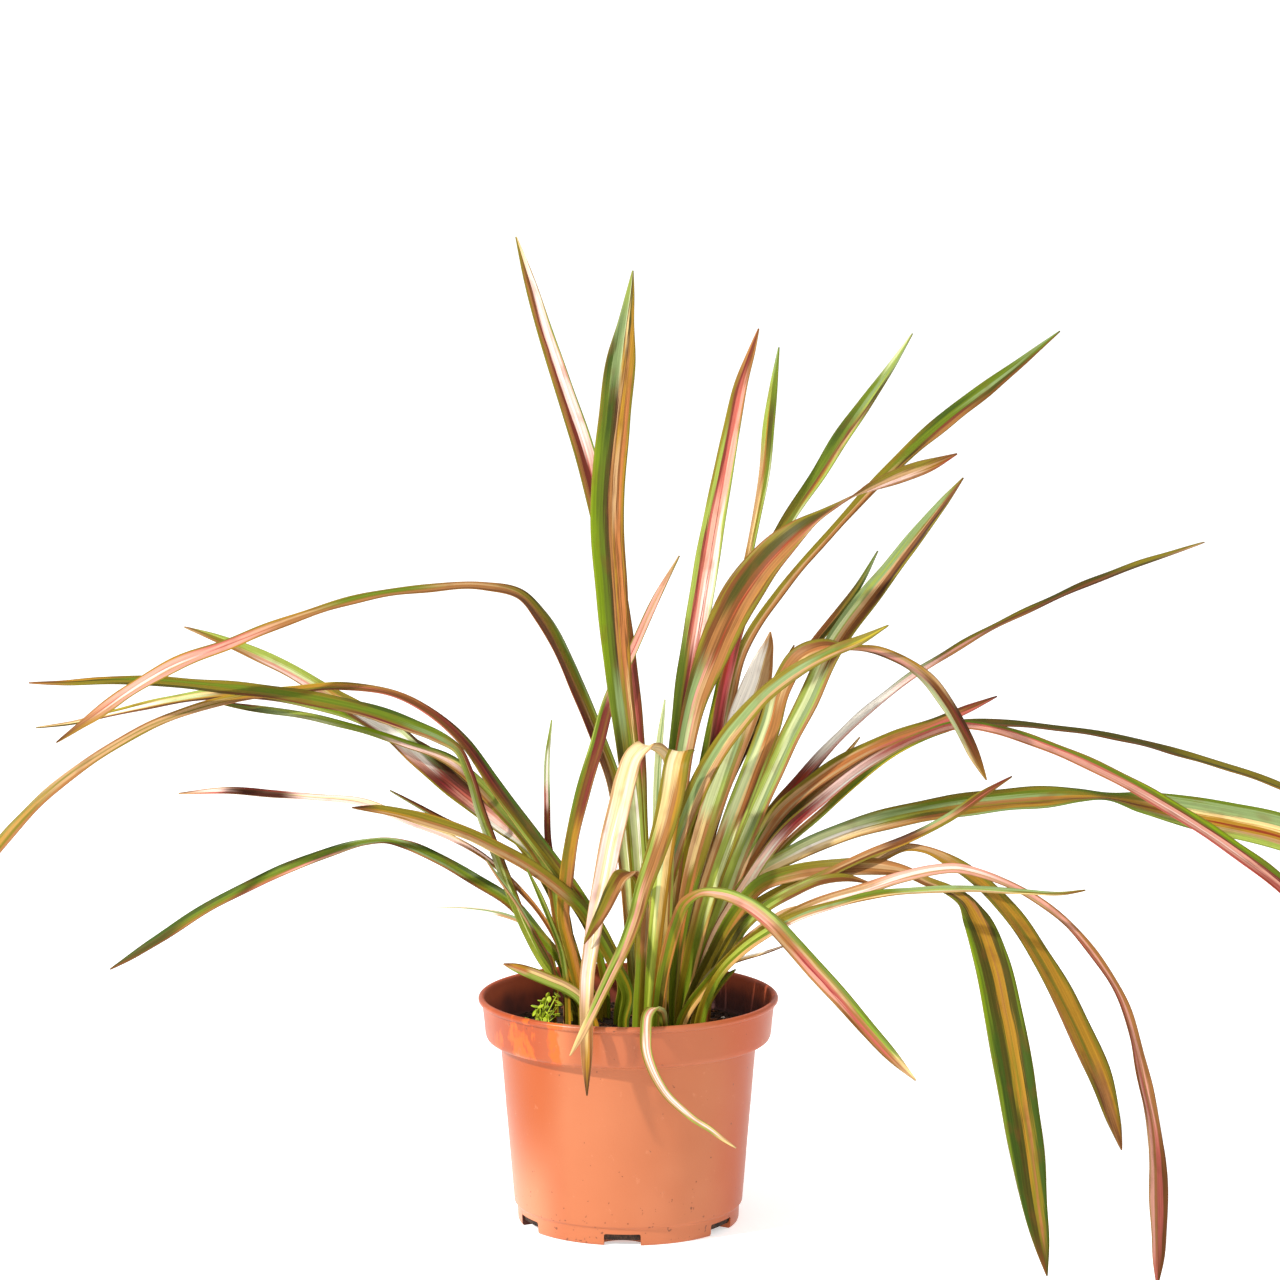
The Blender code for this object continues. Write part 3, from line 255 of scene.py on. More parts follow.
# %% The leaves on the left
leaf("short_over_left_rim", (-22, -12), 30, "ochre", """
  -26 134 -10 6, -31 143 -7 7, -39 149 -4 8, -50 154 -1 8, -62 159 2 7.5, -72 162.5 4 5, -79 164.5 6 1""")
leaf("thin_green_left", (-38, -4), 30, "green", """
  -39 150 -2 3.5, -42 172 1 3.5, -49 192 4 3.5, -56 209 7 3, -64 226 10 1""")
leaf("olive_left", (-3, 2), 42, "olive", """
  0 143 3 8, -9 165 5 8, -19 184 8 8.5, -30 201 11 8.5, -45 215 14 8.5, -62 227.5 17 8.5, -81 238.5 20 8,
  -100 248 22 8, -119 254.5 24 8.5, -139 260.5 26 7, -157 264 28 5.5, -174 265 30 1""")
leaf("red_left", (-28, 8), 12, "maroon", """
  -35 167 9 7, -41 195 11 8, -39 220 13 9, -35 248 16 8.5, -28 277 19 9.5, -19.5 306 22 9, -12 333 25 8,
  4 368 30 6, 17 397 34 5, 32 425 38 1""")
leaf("bent_green_left", (-32, 17), 42, "green", """
  -37 143 19 6, -46 155 22 6, -55 168 25 6, -64 186 29 6.5, -74 211 33 7, -84 238 37 7, -93 263 41 6.5,
  -100 287 45 6, -107 302 48 5.5, -119 310 52 8, -135 317 55 9, -160 326 58 9.5, -190 333 60 9,
  -225 339 60 8.5, -265 343 60 7.5, -300 346 58 6, -330 346 57 5, -355 344.5 56 3, -376 344.5 54 1""")
leaf("light_green_left", (-24, 26), 40, "green", """
  -38 160 30 7, -44 195 34 8, -48 218 38 8.5, -58 238 43 9, -76 260 50 9.5, -94 280 58 9, -110 294 64 7,
  -140 306 72 5, -175 317 80 4.5, -210 325 86 4.5, -240 329 91 4, -262 333 95 1""")
leaf("withered_left", (-40, 24), 30, "straw", """
  -43 173 27 3, -55 196 31 3, -70 214 36 3.5, -90 233 42 3.5, -112 246 49 4, -137 256 57 5, -165 268 65 5,
  -200 272 73 4, -225 274 79 5, -252 276 85 4.5, -283 274 92 1""")
leaf("purple_arch_left", (-6, 22), 40, "maroon", """
  -3 150 24 8, -14 178 28 9, -30 205 33 9.5, -46 228 38 9.5, -65 253.5 44 9.5, -84 280 50 8.5,
  -102 306 57 7, -124 326 64 5.5, -148 338 70 4.5, -180 342.5 75 5, -212 340 78 5, -240 336 78 5.5,
  -270 329 76 5.5, -300 317.5 73 5.5, -330.5 300 69 5.8, -356 282 65 6.2, -376.5 263.5 61 6.8,
  -395 243 57 7.2, -411 220 53 6.5, -425 194 49 4.5, -435 170 45 1""")
leaf("grey_stem_left", (-47, 16), 20, "bronze", """
  -48 162 20 2.5, -58 182 26 2.5, -70 203 33 2.5, -81 219 40 2.5, -90 232 46 1""")
leaf("channelled_left", (-20, 32), 32, "pink", """
  -33 160 34 7, -42 200 39 8, -51 225 44 8, -63 240 49 8.5, -80 254 57 10.5, -97 268 66 13,
  -114 282.5 76 14.5, -131 298 85 14.5, -149 314.5 94 13.5, -170 327.5 102 11.5, -188.5 338.5 109 10,
  -206.5 349.5 115 9, -232 362.5 122 8.5, -259 373.5 129 5, -278 380 134 1""", fold=24)
leaf("hanging_left", (-38, 34), 40, "green", """
  -42 165 40 6, -56 183 50 7, -75 205 63 8, -96 218.5 76 7.5, -119 232 90 7.5, -140.5 241.5 102 5.5,
  -152 244 108 4.2, -165 243 115 4.2, -190 236 127 6.3, -217 225.5 139 7.3, -245.5 212 151 6.8,
  -275 195.5 162 6.8, -299.5 179 170 6.2, -315 169 174 4, -328 161 177 1""")
leaf("inner_dark_left", (-14, 42), 35, "olive", """
  -22 180 46 5, -40 210 52 5, -63 229 59 5, -90 244.5 67 4, -115 256.5 75 3.5, -132 266 81 2.8,
  -150 276 87 1""")
leaf("pale_thread_left", (-46, 42), 20, "cream", """
  -50 173 50 2.5, -63 189 62 3, -82 197 74 3, -100 200 84 2.5, -121 201 94 1""")
leaf("white_left", (-29, 43), 45, "cream", """
  -40 190 50 6, -60 232 60 7, -90 268 74 7.5, -125 300 92 7, -165 320 110 6, -210 334 128 6.5,
  -250 338 142 6.5, -290 333 155 6, -325 325 165 4, -350 319 171 2.5, -372 316 176 1""")
leaf("upright_sliver_left", (-36, 52), 15, "maroon", """
  -38 175 55 4, -44 215 58 4, -50 240 60 4.5, -51 270 62 4, -51 295 64 3.5, -48 321 66 1""")

# %% The leaves on the right, the nearer half
leaf("level_green_right", (44, -39), 48, "green", """
  58 158 -40 5.5, 72 173 -48 6, 90 186 -58 6, 109 196 -70 5.5, 134 204 -84 5, 160 210 -100 4.5,
  184 212 -114 4, 215 213 -132 4, 250 211 -152 3, 275 210 -166 2, 288.5 212 -173 1""")
leaf("pink_hanging_right", (32, -33), 45, "pink", """
  54 156 -36 7, 68 171 -42 7.5, 96 192 -52 7.5, 121 204 -62 7.5, 150 213 -72 7.5, 174 221 -80 7,
  192 225 -86 6.5, 208 226 -92 6, 222 223 -98 5, 240 216 -106 4.5, 273 195 -126 4.5, 299 165 -148 5,
  313 142 -164 5, 321 118 -180 6, 329 84 -202 8, 335 55 -220 8, 338 20 -240 11, 338.5 -8 -256 9.3,
  338.5 -28 -266 6.6, 338 -46 -274 1""")
leaf("short_dark_right", (38, -24), 30, "olive", """
  43 140 -22 6, 49 152 -23 7, 58 162 -25 6, 65 166 -27 4, 72 168 -29 1""")
leaf("short_tan_right", (40.5, -29.5), 20, "bronze", """
  52 150 -30 5, 62 165 -31 5, 72 177 -32 5.5, 85 188 -33 5.5, 98 197 -34 5, 113 203 -35 1""")
leaf("withered_stalk_right", (48, -30), 10, "straw", """
  53 148 -31 2.5, 60 163 -34 3, 68 166.5 -39 3, 87 172 -46 2, 101 177 -54 1""")
leaf("short_green_right", (48, -22), 20, "green", """
  51 140 -20 4.5, 56 149 -19 5, 62 156 -18 4, 68 161 -17 1""")
leaf("short_olive_right", (43, -16), 30, "olive", """
  52 153 -15 6, 64 172 -14 6, 73 188 -13 6, 87 201 -12 6, 104 211 -11 6.5, 122 218.5 -10 6, 138 220 -9 4.5,
  153 216.5 -8 1""")
leaf("brown_blade_right", (48, -11), 45, "bronze", """
  60 172 -14 6, 72 190 -17 6.5, 93 206 -21 6.5, 120 220 -25 6, 151 235 -29 5.5, 178 246 -32 5.5,
  204 260 -34 5.5, 222 273 -35 4.5, 241.5 285 -36 1""")
leaf("broad_hanging_right", (36, -9), 40, "green", """
  54 172 -12 8, 67 196 -17 9, 84 216 -24 10, 104 223 -32 10.5, 130 226.5 -42 11, 158 227 -54 10,
  175 224 -62 7, 188 218 -68 6, 203 212 -76 6.5, 212.5 205.5 -82 9 34, 220 193.5 -90 16 26,
  229.5 168 -104 21 18, 238 131 -124 23.5 14, 244 100 -144 24 12, 249.5 68 -166 22.5 12,
  254.2 40 -186 20.8 12, 259 8 -208 15.2 12, 263.7 -18 -226 9.5 12, 267.5 -39 -240 1 12""")
leaf("ochre_hanging_right", (44, -4), 42, "ochre", """
  58 172 -2 8, 72 194 -8 9, 92 208 -17 9, 116 218 -28 8.5, 140 226 -39 7.5, 159 233 -48 6, 175 239.5 -54 5,
  188 238 -60 4.5, 203 231 -66 7.4, 221 219 -74 9, 241.5 198 -86 10.5, 263 166.5 -102 12,
  281 133 -118 14.6, 292.5 108.5 -130 15, 302 85.5 -141 13.3, 309.2 61.6 -150 7.9, 314 43.5 -156 1""")
leaf("arch_over_right", (33, 3), 30, "bronze", """
  39 165 3 10 5, 50 210 2 12.5 8, 63 248 0 14 10, 77 286 -2 14 14, 88 315 -4 14 18, 97 345 -7 13 28,
  107 361 -10 12 42, 121 368 -15 10 55, 139 367 -22 5.5 66, 157 365 -29 6.5 62, 173 358.5 -36 7 56,
  188.5 346.5 -43 8 50, 200.5 331 -48 8 46, 211 312.5 -53 8 44, 219 296 -56 6 44, 225.5 282.5 -58 1 44""")
leaf("pink_arch_right", (43, 5), 45, "pink", """
  55 182 9 7, 74 215 12 7.5, 96 247 14 7.5, 121 270 15 7, 158 298 14 6, 184 311 12 5.5, 207 318 8 5.5,
  231 315 3 6, 265.8 303.5 -5 7, 302 287.5 -14 8, 336.5 268.5 -23 9, 372 246 -32 9.5, 410 218 -41 10,
  438 193 -47 8, 458 172 -51 5, 470 158 -53 1""")
leaf("cream_striped", (39, 12), 22, "cream", """
  46 168 15 9, 58 204 19 11, 70 238 23 12.5, 87 279 29 13, 100 308 34 13, 113 334 39 13.5, 129 369 46 13.5,
  148 396 52 14, 165.5 418.5 58 11.5, 182.3 440.5 63 9.3, 197 459 67 6, 209 474 70 1""")

# %% The leaves on the right, the further half
leaf("broad_pale", (29, 13), 15, "cream", """
  33 185 17 9, 43 232 22 12, 56 276 27 15, 66 305 31 17, 74 328 34 18.5, 81 346 37 17.5, 85 360 39 12,
  88 370 40 6, 89 377 41 1""")
leaf("broad_green_right", (48.5, 15.5), 45, "green", """
  58 180 19 8, 77 218.5 23 9.5, 105 236 27 11, 140 251 31 12.5, 172 260 33 13.5, 204 266 34 14.5,
  235 270 34 14.5, 262 272 33 13, 285 273 31 10 56, 303 272 29 7.5 66, 322 269 26 13 48, 350 263 22 19 30,
  380 257 16 22 20, 410 250 9 23 16, 442 238 1 20 16, 475 222 -7 14 16, 503 206 -13 7 16, 522 193 -17 1 16""")
leaf("thin_green_right", (48, 21), 30, "green", """
  66 190 20 4, 82 218 21 4.5, 98 240 23 4.5, 122 262 25 5, 147 285 27 5, 170 302 28 4.5, 190 311 29 3,
  204 315 30 1""")
leaf("broad_bronze", (23, 20), 20, "bronze", """
  25 175 21 9 5, 30 240 22 10.5 5, 36 305 22 12 6, 43 336 21 15 8, 51 358 20 20 10, 60 380 18 23 12,
  71 401 15 24 16, 86.5 422.5 12 20.5 24, 107 442 8 12.5 44, 134 459 4 4 78, 153 469 1 7.5 118,
  168 475 -2 9.5 138, 188 482 -6 7.5 146, 205 489 -10 1 150""")
leaf("bronze_right", (40, 21), 42, "bronze", """
  55 188 26 8, 77 235 32 9, 95 263 37 10, 117 282 43 10, 141 298 49 9.5, 166 309.5 55 8, 190 318 60 7.5,
  213 328 64 5, 231.5 336 67 1""")
leaf("thin_dark_right", (47, 28), 55, "olive", """
  61 190 32 7, 84 236 40 7, 120 276 52 7, 165 305 66 6, 208 319 80 5, 238 319 88 4.5, 270 315.8 97 3.8,
  309 309.7 106 4.3, 350 299 115 5, 389 287 122 5, 420 275 127 4.5, 446 262 130 3, 464 251 132 1""")
leaf("red_inner", (33, 29), 20, "crimson", """
  40 190 36 8, 48 260 44 8.5, 55 310 52 8, 62 350 60 7.5, 74 395 70 8, 98 445 82 8, 119 477 92 9.5,
  133 500 99 10.5, 147 520 105 8.8, 163 543 112 5.2, 176.5 564 118 1""")
leaf("far_thin_right", (43, 34), 55, "maroon", """
  57 190 40 7, 74 231 48 8, 89 260 56 7.5, 108 283 66 7.5, 133 311 78 6.5, 168 342 94 5.5, 202.5 365 110 5,
  228.5 380 121 4, 255 393 132 4, 281 405 142 4.5, 308 416 152 4.5, 334 425 160 3.5, 360 433.5 167 1""")
leaf("brown_sliver_right", (28, 34), 10, "bronze", """
  38 180 35 3, 41 212 36 3, 43.5 245 37 3, 45 273 38 2.5, 47 296 39 1""")
leaf("slim_upright_right", (25, 40), 20, "olive", """
  28 170 44 7, 42 260 52 8, 56 330 59 8, 68 390 65 7, 76 428 69 5, 80 449 71 5.5, 85 478 74 7,
  87.5 507 77 7.5, 90.5 532 79 5, 93.6 555.5 81 1""")
leaf("high_green_right", (38, 41), 30, "green", """
  43 180 50 8, 52 260 66 8, 62 325 80 7.5, 72 366 90 7, 93.5 400 104 6.2, 127.5 440.5 122 5.5,
  163 479 140 8, 198.5 511 156 11, 221.5 528.7 166 10, 245.5 547.5 176 5.8, 268 565.5 184 1""")
leaf("hidden_tip_upper", (33, 50), 20, "olive", """
  36 180 58 6, 52 250 74 7, 74 310 90 7, 95 350 101 5, 104 368.5 106 1""")
leaf("dark_spear_right", (44, 47), 25, "maroon", """
  47 190 54 7, 48 231 64 8, 55 262 74 8.5, 73 305 88 8, 98 342 102 7, 120 374 113 6.5, 132 389 118 6,
  144 406 123 4.5, 156 428 129 1""")
leaf("hidden_tip_lower", (48, 41), 25, "ochre", """
  61 180 50 6, 78 228 64 7, 103 263 78 6.5, 128 288 90 5, 145.5 310 98 1""")
print(len(LEAVES), "leaves, and", sum(len(item["route"]) for item in LEAVES), "rows read off the photograph")

# %% [markdown]
# A point that is seen at one place on the picture can lie at any depth along that line of sight. These
# helpers go from the picture to the model and back, and join the rows of a route by a smooth curve.

# %% Places along a leaf
def seen_point(across, up, away):
    """The point seen at (across, up) on the plane through the pot's axis, moved along the line of sight."""
    reach = (away - VIEWPOINT[1]) / -VIEWPOINT[1]
    return np.stack([
        VIEWPOINT[0] + reach * (across - VIEWPOINT[0]),
        away,
        VIEWPOINT[2] + reach * (up - VIEWPOINT[2]),
    ], axis=-1)


def as_seen(points):
    """How far across and up each point is seen, and how far away it lies."""
    reach = (points[..., 1] - VIEWPOINT[1]) / -VIEWPOINT[1]
    across = VIEWPOINT[0] + (points[..., 0] - VIEWPOINT[0]) / reach
    up = VIEWPOINT[2] + (points[..., 2] - VIEWPOINT[2]) / reach
    return across, up, points[..., 1]


def unit(vectors):
    return vectors / np.maximum(np.linalg.norm(vectors, axis=-1, keepdims=True), 1e-9)


def ease(share):
    """A smooth rise from 0 to 1."""
    share = np.clip(share, 0, 1)
    return share * share * (3 - 2 * share)


def travel(points):
    """How far along its line each point lies."""
    return np.concatenate([[0], np.cumsum(np.linalg.norm(np.diff(points, axis=0), axis=1))])


def through(at, knots, step, rows):
    """Rows at places on the smooth curve through the given rows, which lie at knots, a step apart."""
    slope = np.gradient(rows, knots, axis=0)
    i = np.clip(np.searchsorted(knots, at, side="right") - 1, 0, len(step) - 1)
    h = step[i][:, None]
    u = (at - knots[i])[:, None] / h
    start = (1 + 2 * u) * (1 - u) ** 2 * rows[i] + u * (1 - u) ** 2 * h * slope[i]
    end = u * u * (3 - 2 * u) * rows[i + 1] - u * u * (1 - u) * h * slope[i + 1]
    return start + end


def route_rows(item):
    """The leaf's rows of across, up, away, width and tilt, from the soil to the tip."""
    root = np.array([[*item["root"], SOIL_LEVEL], [*item["root"], SOIL_LEVEL + UPRIGHT_FOOT]], float)
    first_width = item["route"][0][3]
    width = ROOT_WIDTH if first_width > SLIM_WIDTH else first_width
    rows = [[*place, width, 0.0] for place in zip(*as_seen(root))]
    given = item["route"]
    length = np.cumsum([0.0] + [math.dist(a[:3], b[:3]) for a, b in zip(given, given[1:])])
    for row, share in zip(given, length / length[-1]):
        rows.append(row if len(row) == 5 else row + [item["tilt"] * float(ease(share / OPENS_BY))])
    return np.array(rows, float)


def paced(item, length, turning):
    """The leaf's curve, and how many stations lie before each of its rows, closer together where it turns."""
    rows = route_rows(item)
    between = np.linalg.norm(np.diff(rows[:, :3], axis=0), axis=1)
    knots = travel(rows[:, :3])
    curve = through(np.linspace(0, knots[-1], PATH_SAMPLES), knots, between, rows)
    step = np.diff(seen_point(*curve[:, :3].T), axis=0)
    heading = unit(step)
    turn = np.arccos(np.clip((heading[1:] * heading[:-1]).sum(axis=1), -1, 1))
    pace = np.linalg.norm(step, axis=1) / length + np.append(turn, 0) / turning
    return curve, np.concatenate([[0], np.cumsum(pace)])


def spaced(curve, pace):
    """Places one pace apart, and the curve's rows there."""
    at = np.linspace(0, pace[-1], math.ceil(pace[-1]) + 1)
    return at, np.stack([np.interp(at, pace, column) for column in curve.T], axis=1)


def stations(item):
    """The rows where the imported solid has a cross-section."""
    return spaced(*paced(item, STATION_LENGTH, STATION_TURN))[1]

# %% [markdown]
# A blade is folded in a V along its midrib, tightly where it clasps the others at its foot and almost flat
# further out. The section is worked out square to the leaf's line and then widened until it covers the width
# that the photograph shows.

# %% The shape across a blade
def blade_section(item, rows, smoothing=1):
    """The blade's centre line, half width and folded section (one edge, the midrib, the other edge)."""
    points = seen_point(*rows[:, :3].T)
    buried = points[0] - [0, 0, ROOT_DEPTH]
    points = np.concatenate([[buried], points])
    rows = np.concatenate([rows[:1], rows])
    along = unit(np.gradient(points, axis=0))
    along[0] = along[1] = (0, 0, 1)
    sight = unit(points - VIEWPOINT)
    across_view = unit(np.cross(along, sight))
    if item["nods"]:
        width = unit(ACROSS - along * along[:, :1])
    else:
        hand = 1 if rows[-1, 0] > rows[0, 0] else -1
        tilt = np.radians(rows[:, 4] * hand)[:, None]
        level = unit(across_view - along * (across_view * along).sum(axis=1, keepdims=True))
        width = level * np.cos(tilt) - np.cross(along, level) * np.sin(tilt)
    travelled = travel(points)
    opened = ease(travelled / travelled[-1] / OPENS_BY)
    fold = np.radians(ROOT_FOLD + (item["fold"] - ROOT_FOLD) * opened)[:, None]
    spread = width * np.cos(fold)
    lift = np.cross(along, width) * np.sin(fold) / 2
    section = np.stack([spread + lift, -lift, lift - spread], axis=1)
    seen = (section * across_view[:, None, :]).sum(axis=2)
    extent = seen.max(axis=1) - seen.min(axis=1)
    stretch = 1 / np.maximum(extent, 2 * WIDEST_STRETCH)
    for _ in range(smoothing):
        stretch[1:-1] = (stretch[:-2] + 2 * stretch[1:-1] + stretch[2:]) / 4
    half = np.maximum(rows[:, 3], TIP_WIDTH) * stretch
    half[-1] = TIP_WIDTH / 2
    middle = (seen.max(axis=1) + seen.min(axis=1)) / 2 * half * ease(travelled / FREE_LENGTH)
    centre = points - across_view * middle[:, None]
    return centre, half, section


def blade_lines(item, rows):
    """Three lines of points down the blade: one edge, the midrib and the other edge."""
    centre, half, section = blade_section(item, rows)
    return centre[:, None, :] + section * half[:, None, None]

# %% [markdown]
# Ribbons laid as listed cut through each other. So the view is divided into small cells, the blades are
# laid into it from the nearest root to the furthest, and wherever two come too close they are moved apart
# along the line of sight. The picture doesn't change, and each blade bends clear of its neighbours.

# %% What each blade covers
def covered_cells(lines):
    """The cells of the view that a blade covers, with its nearest and furthest depth and its row in each."""
    count = len(lines)
    along = np.linspace(0, count - 1, (count - 1) * STEPS_ALONG + 1)
    lower = np.minimum(along.astype(int), count - 2)
    part = (along - lower)[:, None, None]
    dense = lines[lower] * (1 - part) + lines[lower + 1] * part
    share = np.linspace(0, 1, STEPS_ACROSS)[None, :, None]
    left = dense[:, :1] * (1 - share) + dense[:, 1:2] * share
    right = dense[:, 1:2] * (1 - share) + dense[:, 2:] * share
    points = np.concatenate([left, right[:, 1:]], axis=1)
    across, up, away = as_seen(points)
    column = ((across - FIELD_LOW[0]) / CELL).astype(int)
    row = ((up - FIELD_LOW[1]) / CELL).astype(int)
    cell = (row * FIELD_CELLS[0] + column).ravel()
    station = np.broadcast_to(np.rint(along).astype(int)[:, None], across.shape).ravel()
    free = station > FOOT_ROWS
    cell, away, station = cell[free], away.ravel()[free], station[free]
    order = np.lexsort((away, cell))
    cell, away, station = cell[order], away[order], station[order]
    first = np.flatnonzero(np.diff(cell, prepend=-1))
    last = np.append(first[1:], len(cell)) - 1
    return cell[first], away[first], away[last], station[first]


def crossing_order(leaves):
    """Every leaf's index with the part of the view it is met in, from the nearest to the furthest."""
    order = []
    for index, item in enumerate(leaves):
        start, end = FIELD_LOW[0], -FIELD_LOW[0]
        if item["outer"]:
            limit, rank = item["outer"]
            order.append((rank, index, start, limit))
            start = limit
        order.append((item["root"][1], index, start, end))
    return sorted(order)

# %% Bend crossing blades clear of each other
def bend_clear(leaves):
    """Moves blades along the line of sight until each passes clear in front of those rooted further back."""
    for item in leaves:
        item["rows"] = stations(item)
    longest = max(len(item["rows"]) for item in leaves) + 1
    cells = FIELD_CELLS[0] * FIELD_CELLS[1]
    order = crossing_order(leaves)
    for _ in range(MOST_ROUNDS):
        front = np.full(cells, EMPTY_DEPTH)
        owner, owner_row = np.zeros((2, cells), int)
        back, forward = np.zeros((2, len(leaves), longest))
        covered = [covered_cells(blade_lines(item, item["rows"])) for item in leaves]
        for _, index, start, end in order:
            cell, near, far, row = covered[index]
            across = cell % FIELD_CELLS[0] * CELL + FIELD_LOW[0]
            here = (across >= start) & (across < end)
            cell, near, far, row = cell[here], near[here], far[here], row[here]
            short = front[cell] + BLADE_GAP + BLADE_THICKNESS - near
            hit = (short > 0) & (owner[cell] != index)
            np.maximum.at(back, (index, row[hit]), short[hit] / 2)
            np.maximum.at(forward, (owner[cell[hit]], owner_row[cell[hit]]), short[hit] / 2)
            ahead = far > front[cell]
            front[cell[ahead]] = far[ahead]
            owner[cell[ahead]] = index
            owner_row[cell[ahead]] = row[ahead]
        worst = max(back.max(), forward.max()) * 2
        if worst < CLOSE_ENOUGH:
            break
        for index, item in enumerate(leaves):
            spread_push(item, back[index], forward[index])


def spread_push(item, back, forward):
    """Adds the pushes to a leaf's depth, spread smoothly along it and fading to nothing at the soil."""
    rows = item["rows"]
    travelled = travel(seen_point(*rows[:, :3].T))
    near = np.exp(-((travelled[:, None] - travelled[None, :]) / PUSH_REACH) ** 2)
    count = len(rows)
    push = (near * back[1:count + 1]).max(axis=1) - (near * forward[1:count + 1]).max(axis=1)
    rows[:, 2] += push * ease(travelled / FREE_LENGTH)


placed = {item["name"]: stations(item)[:, 2] for item in LEAVES}
bend_clear(LEAVES)
moved = max(float(np.abs(item["rows"][:, 2] - placed[item["name"]]).max()) for item in LEAVES)
print("crossing blades moved apart by up to", round(moved, 1), "mm")

# %% [markdown]
# ## The blades
# The solids have a row every few centimetres. The fine blade has one every four millimetres, on the curve
# through all the rows that were read, with the same pushes in depth laid over it. Thirteen points across give
# the keel under the midrib and the slightly rolled edges, and a slow ripple keeps the surface from looking
# ironed. The Solidify modifier gives it its thickness, thinner at the edges through a vertex group.

# %% The surface of a fine blade
FINE_LENGTH = 4.0
FINE_TURN = math.radians(3)
FINE_POINTS = 13
SECTION_SMOOTHING = 50
KEEL_ROUND = 0.22
EDGE_ROLL = 0.10
ROLL_STARTS = 0.6
TIP_TAPER = 25
RIPPLE = 0.35
RIPPLE_LENGTHS = (38, 62)
RIPPLE_FULL_WIDTH = 5
RIPPLE_FREE_LENGTH = 60
KEEL_THICKNESS = 0.9
EDGE_THICKNESS = 0.4


def fine_rows(item):
    """The route's own curve, closely spaced, with the pushes in depth that keep it clear of the others."""
    curve, pace = paced(item, STATION_LENGTH, STATION_TURN)
    coarse = np.linspace(0, pace[-1], len(item["rows"]))
    push = (item["rows"][:, 2] - placed[item["name"]])[:, None]
    fine_pace = paced(item, FINE_LENGTH, FINE_TURN)[1]
    at, rows = spaced(curve, fine_pace)
    rows[:, 2] += through(np.interp(at, fine_pace, pace), coarse, np.diff(coarse), push)[:, 0]
    return rows


def blade_sheet(item, rows, chance):
    """The middle surface of a blade as rows of points, with each point's place across and along it."""
    centre, half, section = blade_section(item, rows, SECTION_SMOOTHING)
    side = np.linspace(1, -1, FINE_POINTS)
    keel = (np.sqrt(side ** 2 + KEEL_ROUND ** 2) - KEEL_ROUND) / (math.sqrt(1 + KEEL_ROUND ** 2) - KEEL_ROUND)
    keel -= EDGE_ROLL * ease((np.abs(side) - ROLL_STARTS) / (1 - ROLL_STARTS))
    spread = (section[:, 0] - section[:, 2]) / 2
    lift = (section[:, 0] + section[:, 2]) / 2
    travelled = travel(centre)
    reach = half * ease((travelled[-1] - travelled) / TIP_TAPER)
    phases = chance.uniform(0, math.tau, 4)
    lengths = chance.uniform(*RIPPLE_LENGTHS, 4)
    wave = [np.sin(travelled / length * math.tau + phase)[:, None] for length, phase in zip(lengths, phases)]
    ripple = RIPPLE * np.minimum(reach / RIPPLE_FULL_WIDTH, 1)[:, None] * (
        wave[0] * side.clip(0, 1) ** 2 + wave[1] * side.clip(-1, 0) ** 2 + 0.5 * wave[2] * side)
    ripple *= ease(travelled / RIPPLE_FREE_LENGTH)[:, None]
    points = (centre[:, None] + spread[:, None] * (side[:, None] * half[:, None, None])
              + lift[:, None] * ((2 * keel - 1)[:, None] * half[:, None, None])
              + unit(lift)[:, None] * ripple[:, :, None])
    across = (1 + side) / 2 if item["nods"] else (1 - side) / 2
    return points, across, travelled, half

# %% Make a fine blade
def make_blade(item, finish):
    """A fine blade that stands for one packed leaf."""
    root = item["root"]
    chance = np.random.default_rng(len(item["name"]) * 7 + int(root[0] * 3 + root[1] * 11 + 900))
    points, across, travelled, half = blade_sheet(item, fine_rows(item), chance)
    bm = bmesh.new()
    bmesh.ops.create_grid(bm, x_segments=FINE_POINTS - 1, y_segments=len(points) - 1, size=1)
    bm.verts.ensure_lookup_table()
    for vert, point in zip(bm.verts, points.reshape(-1, 3)):
        vert.co = point * MM
    shares = bm.loops.layers.uv.new("shares")
    rulers = bm.loops.layers.uv.new("rulers")
    for face in bm.faces:
        for corner in face.loops:
            row, column = divmod(corner.vert.index, FINE_POINTS)
            corner[shares].uv = (across[column], travelled[row] / travelled[-1])
            corner[rulers].uv = ((across[column] - 0.5) * 2 * half[row], travelled[row])
    mesh = as_mesh(bm, "blade_" + item["name"][5:])
    obj = keep(mesh.name, mesh, [item["name"]], finish)
    group = obj.vertex_groups.new(name="thickness")
    for column in range(FINE_POINTS):
        thin = abs(2 * column / (FINE_POINTS - 1) - 1) ** 1.5
        group.add(list(range(column, len(mesh.vertices), FINE_POINTS)), 1 - thin, "REPLACE")
    set_all(obj.modifiers.new("thickness", "SOLIDIFY"), thickness=KEEL_THICKNESS * MM, offset=0,
            vertex_group="thickness", thickness_vertex_group=EDGE_THICKNESS / KEEL_THICKNESS)
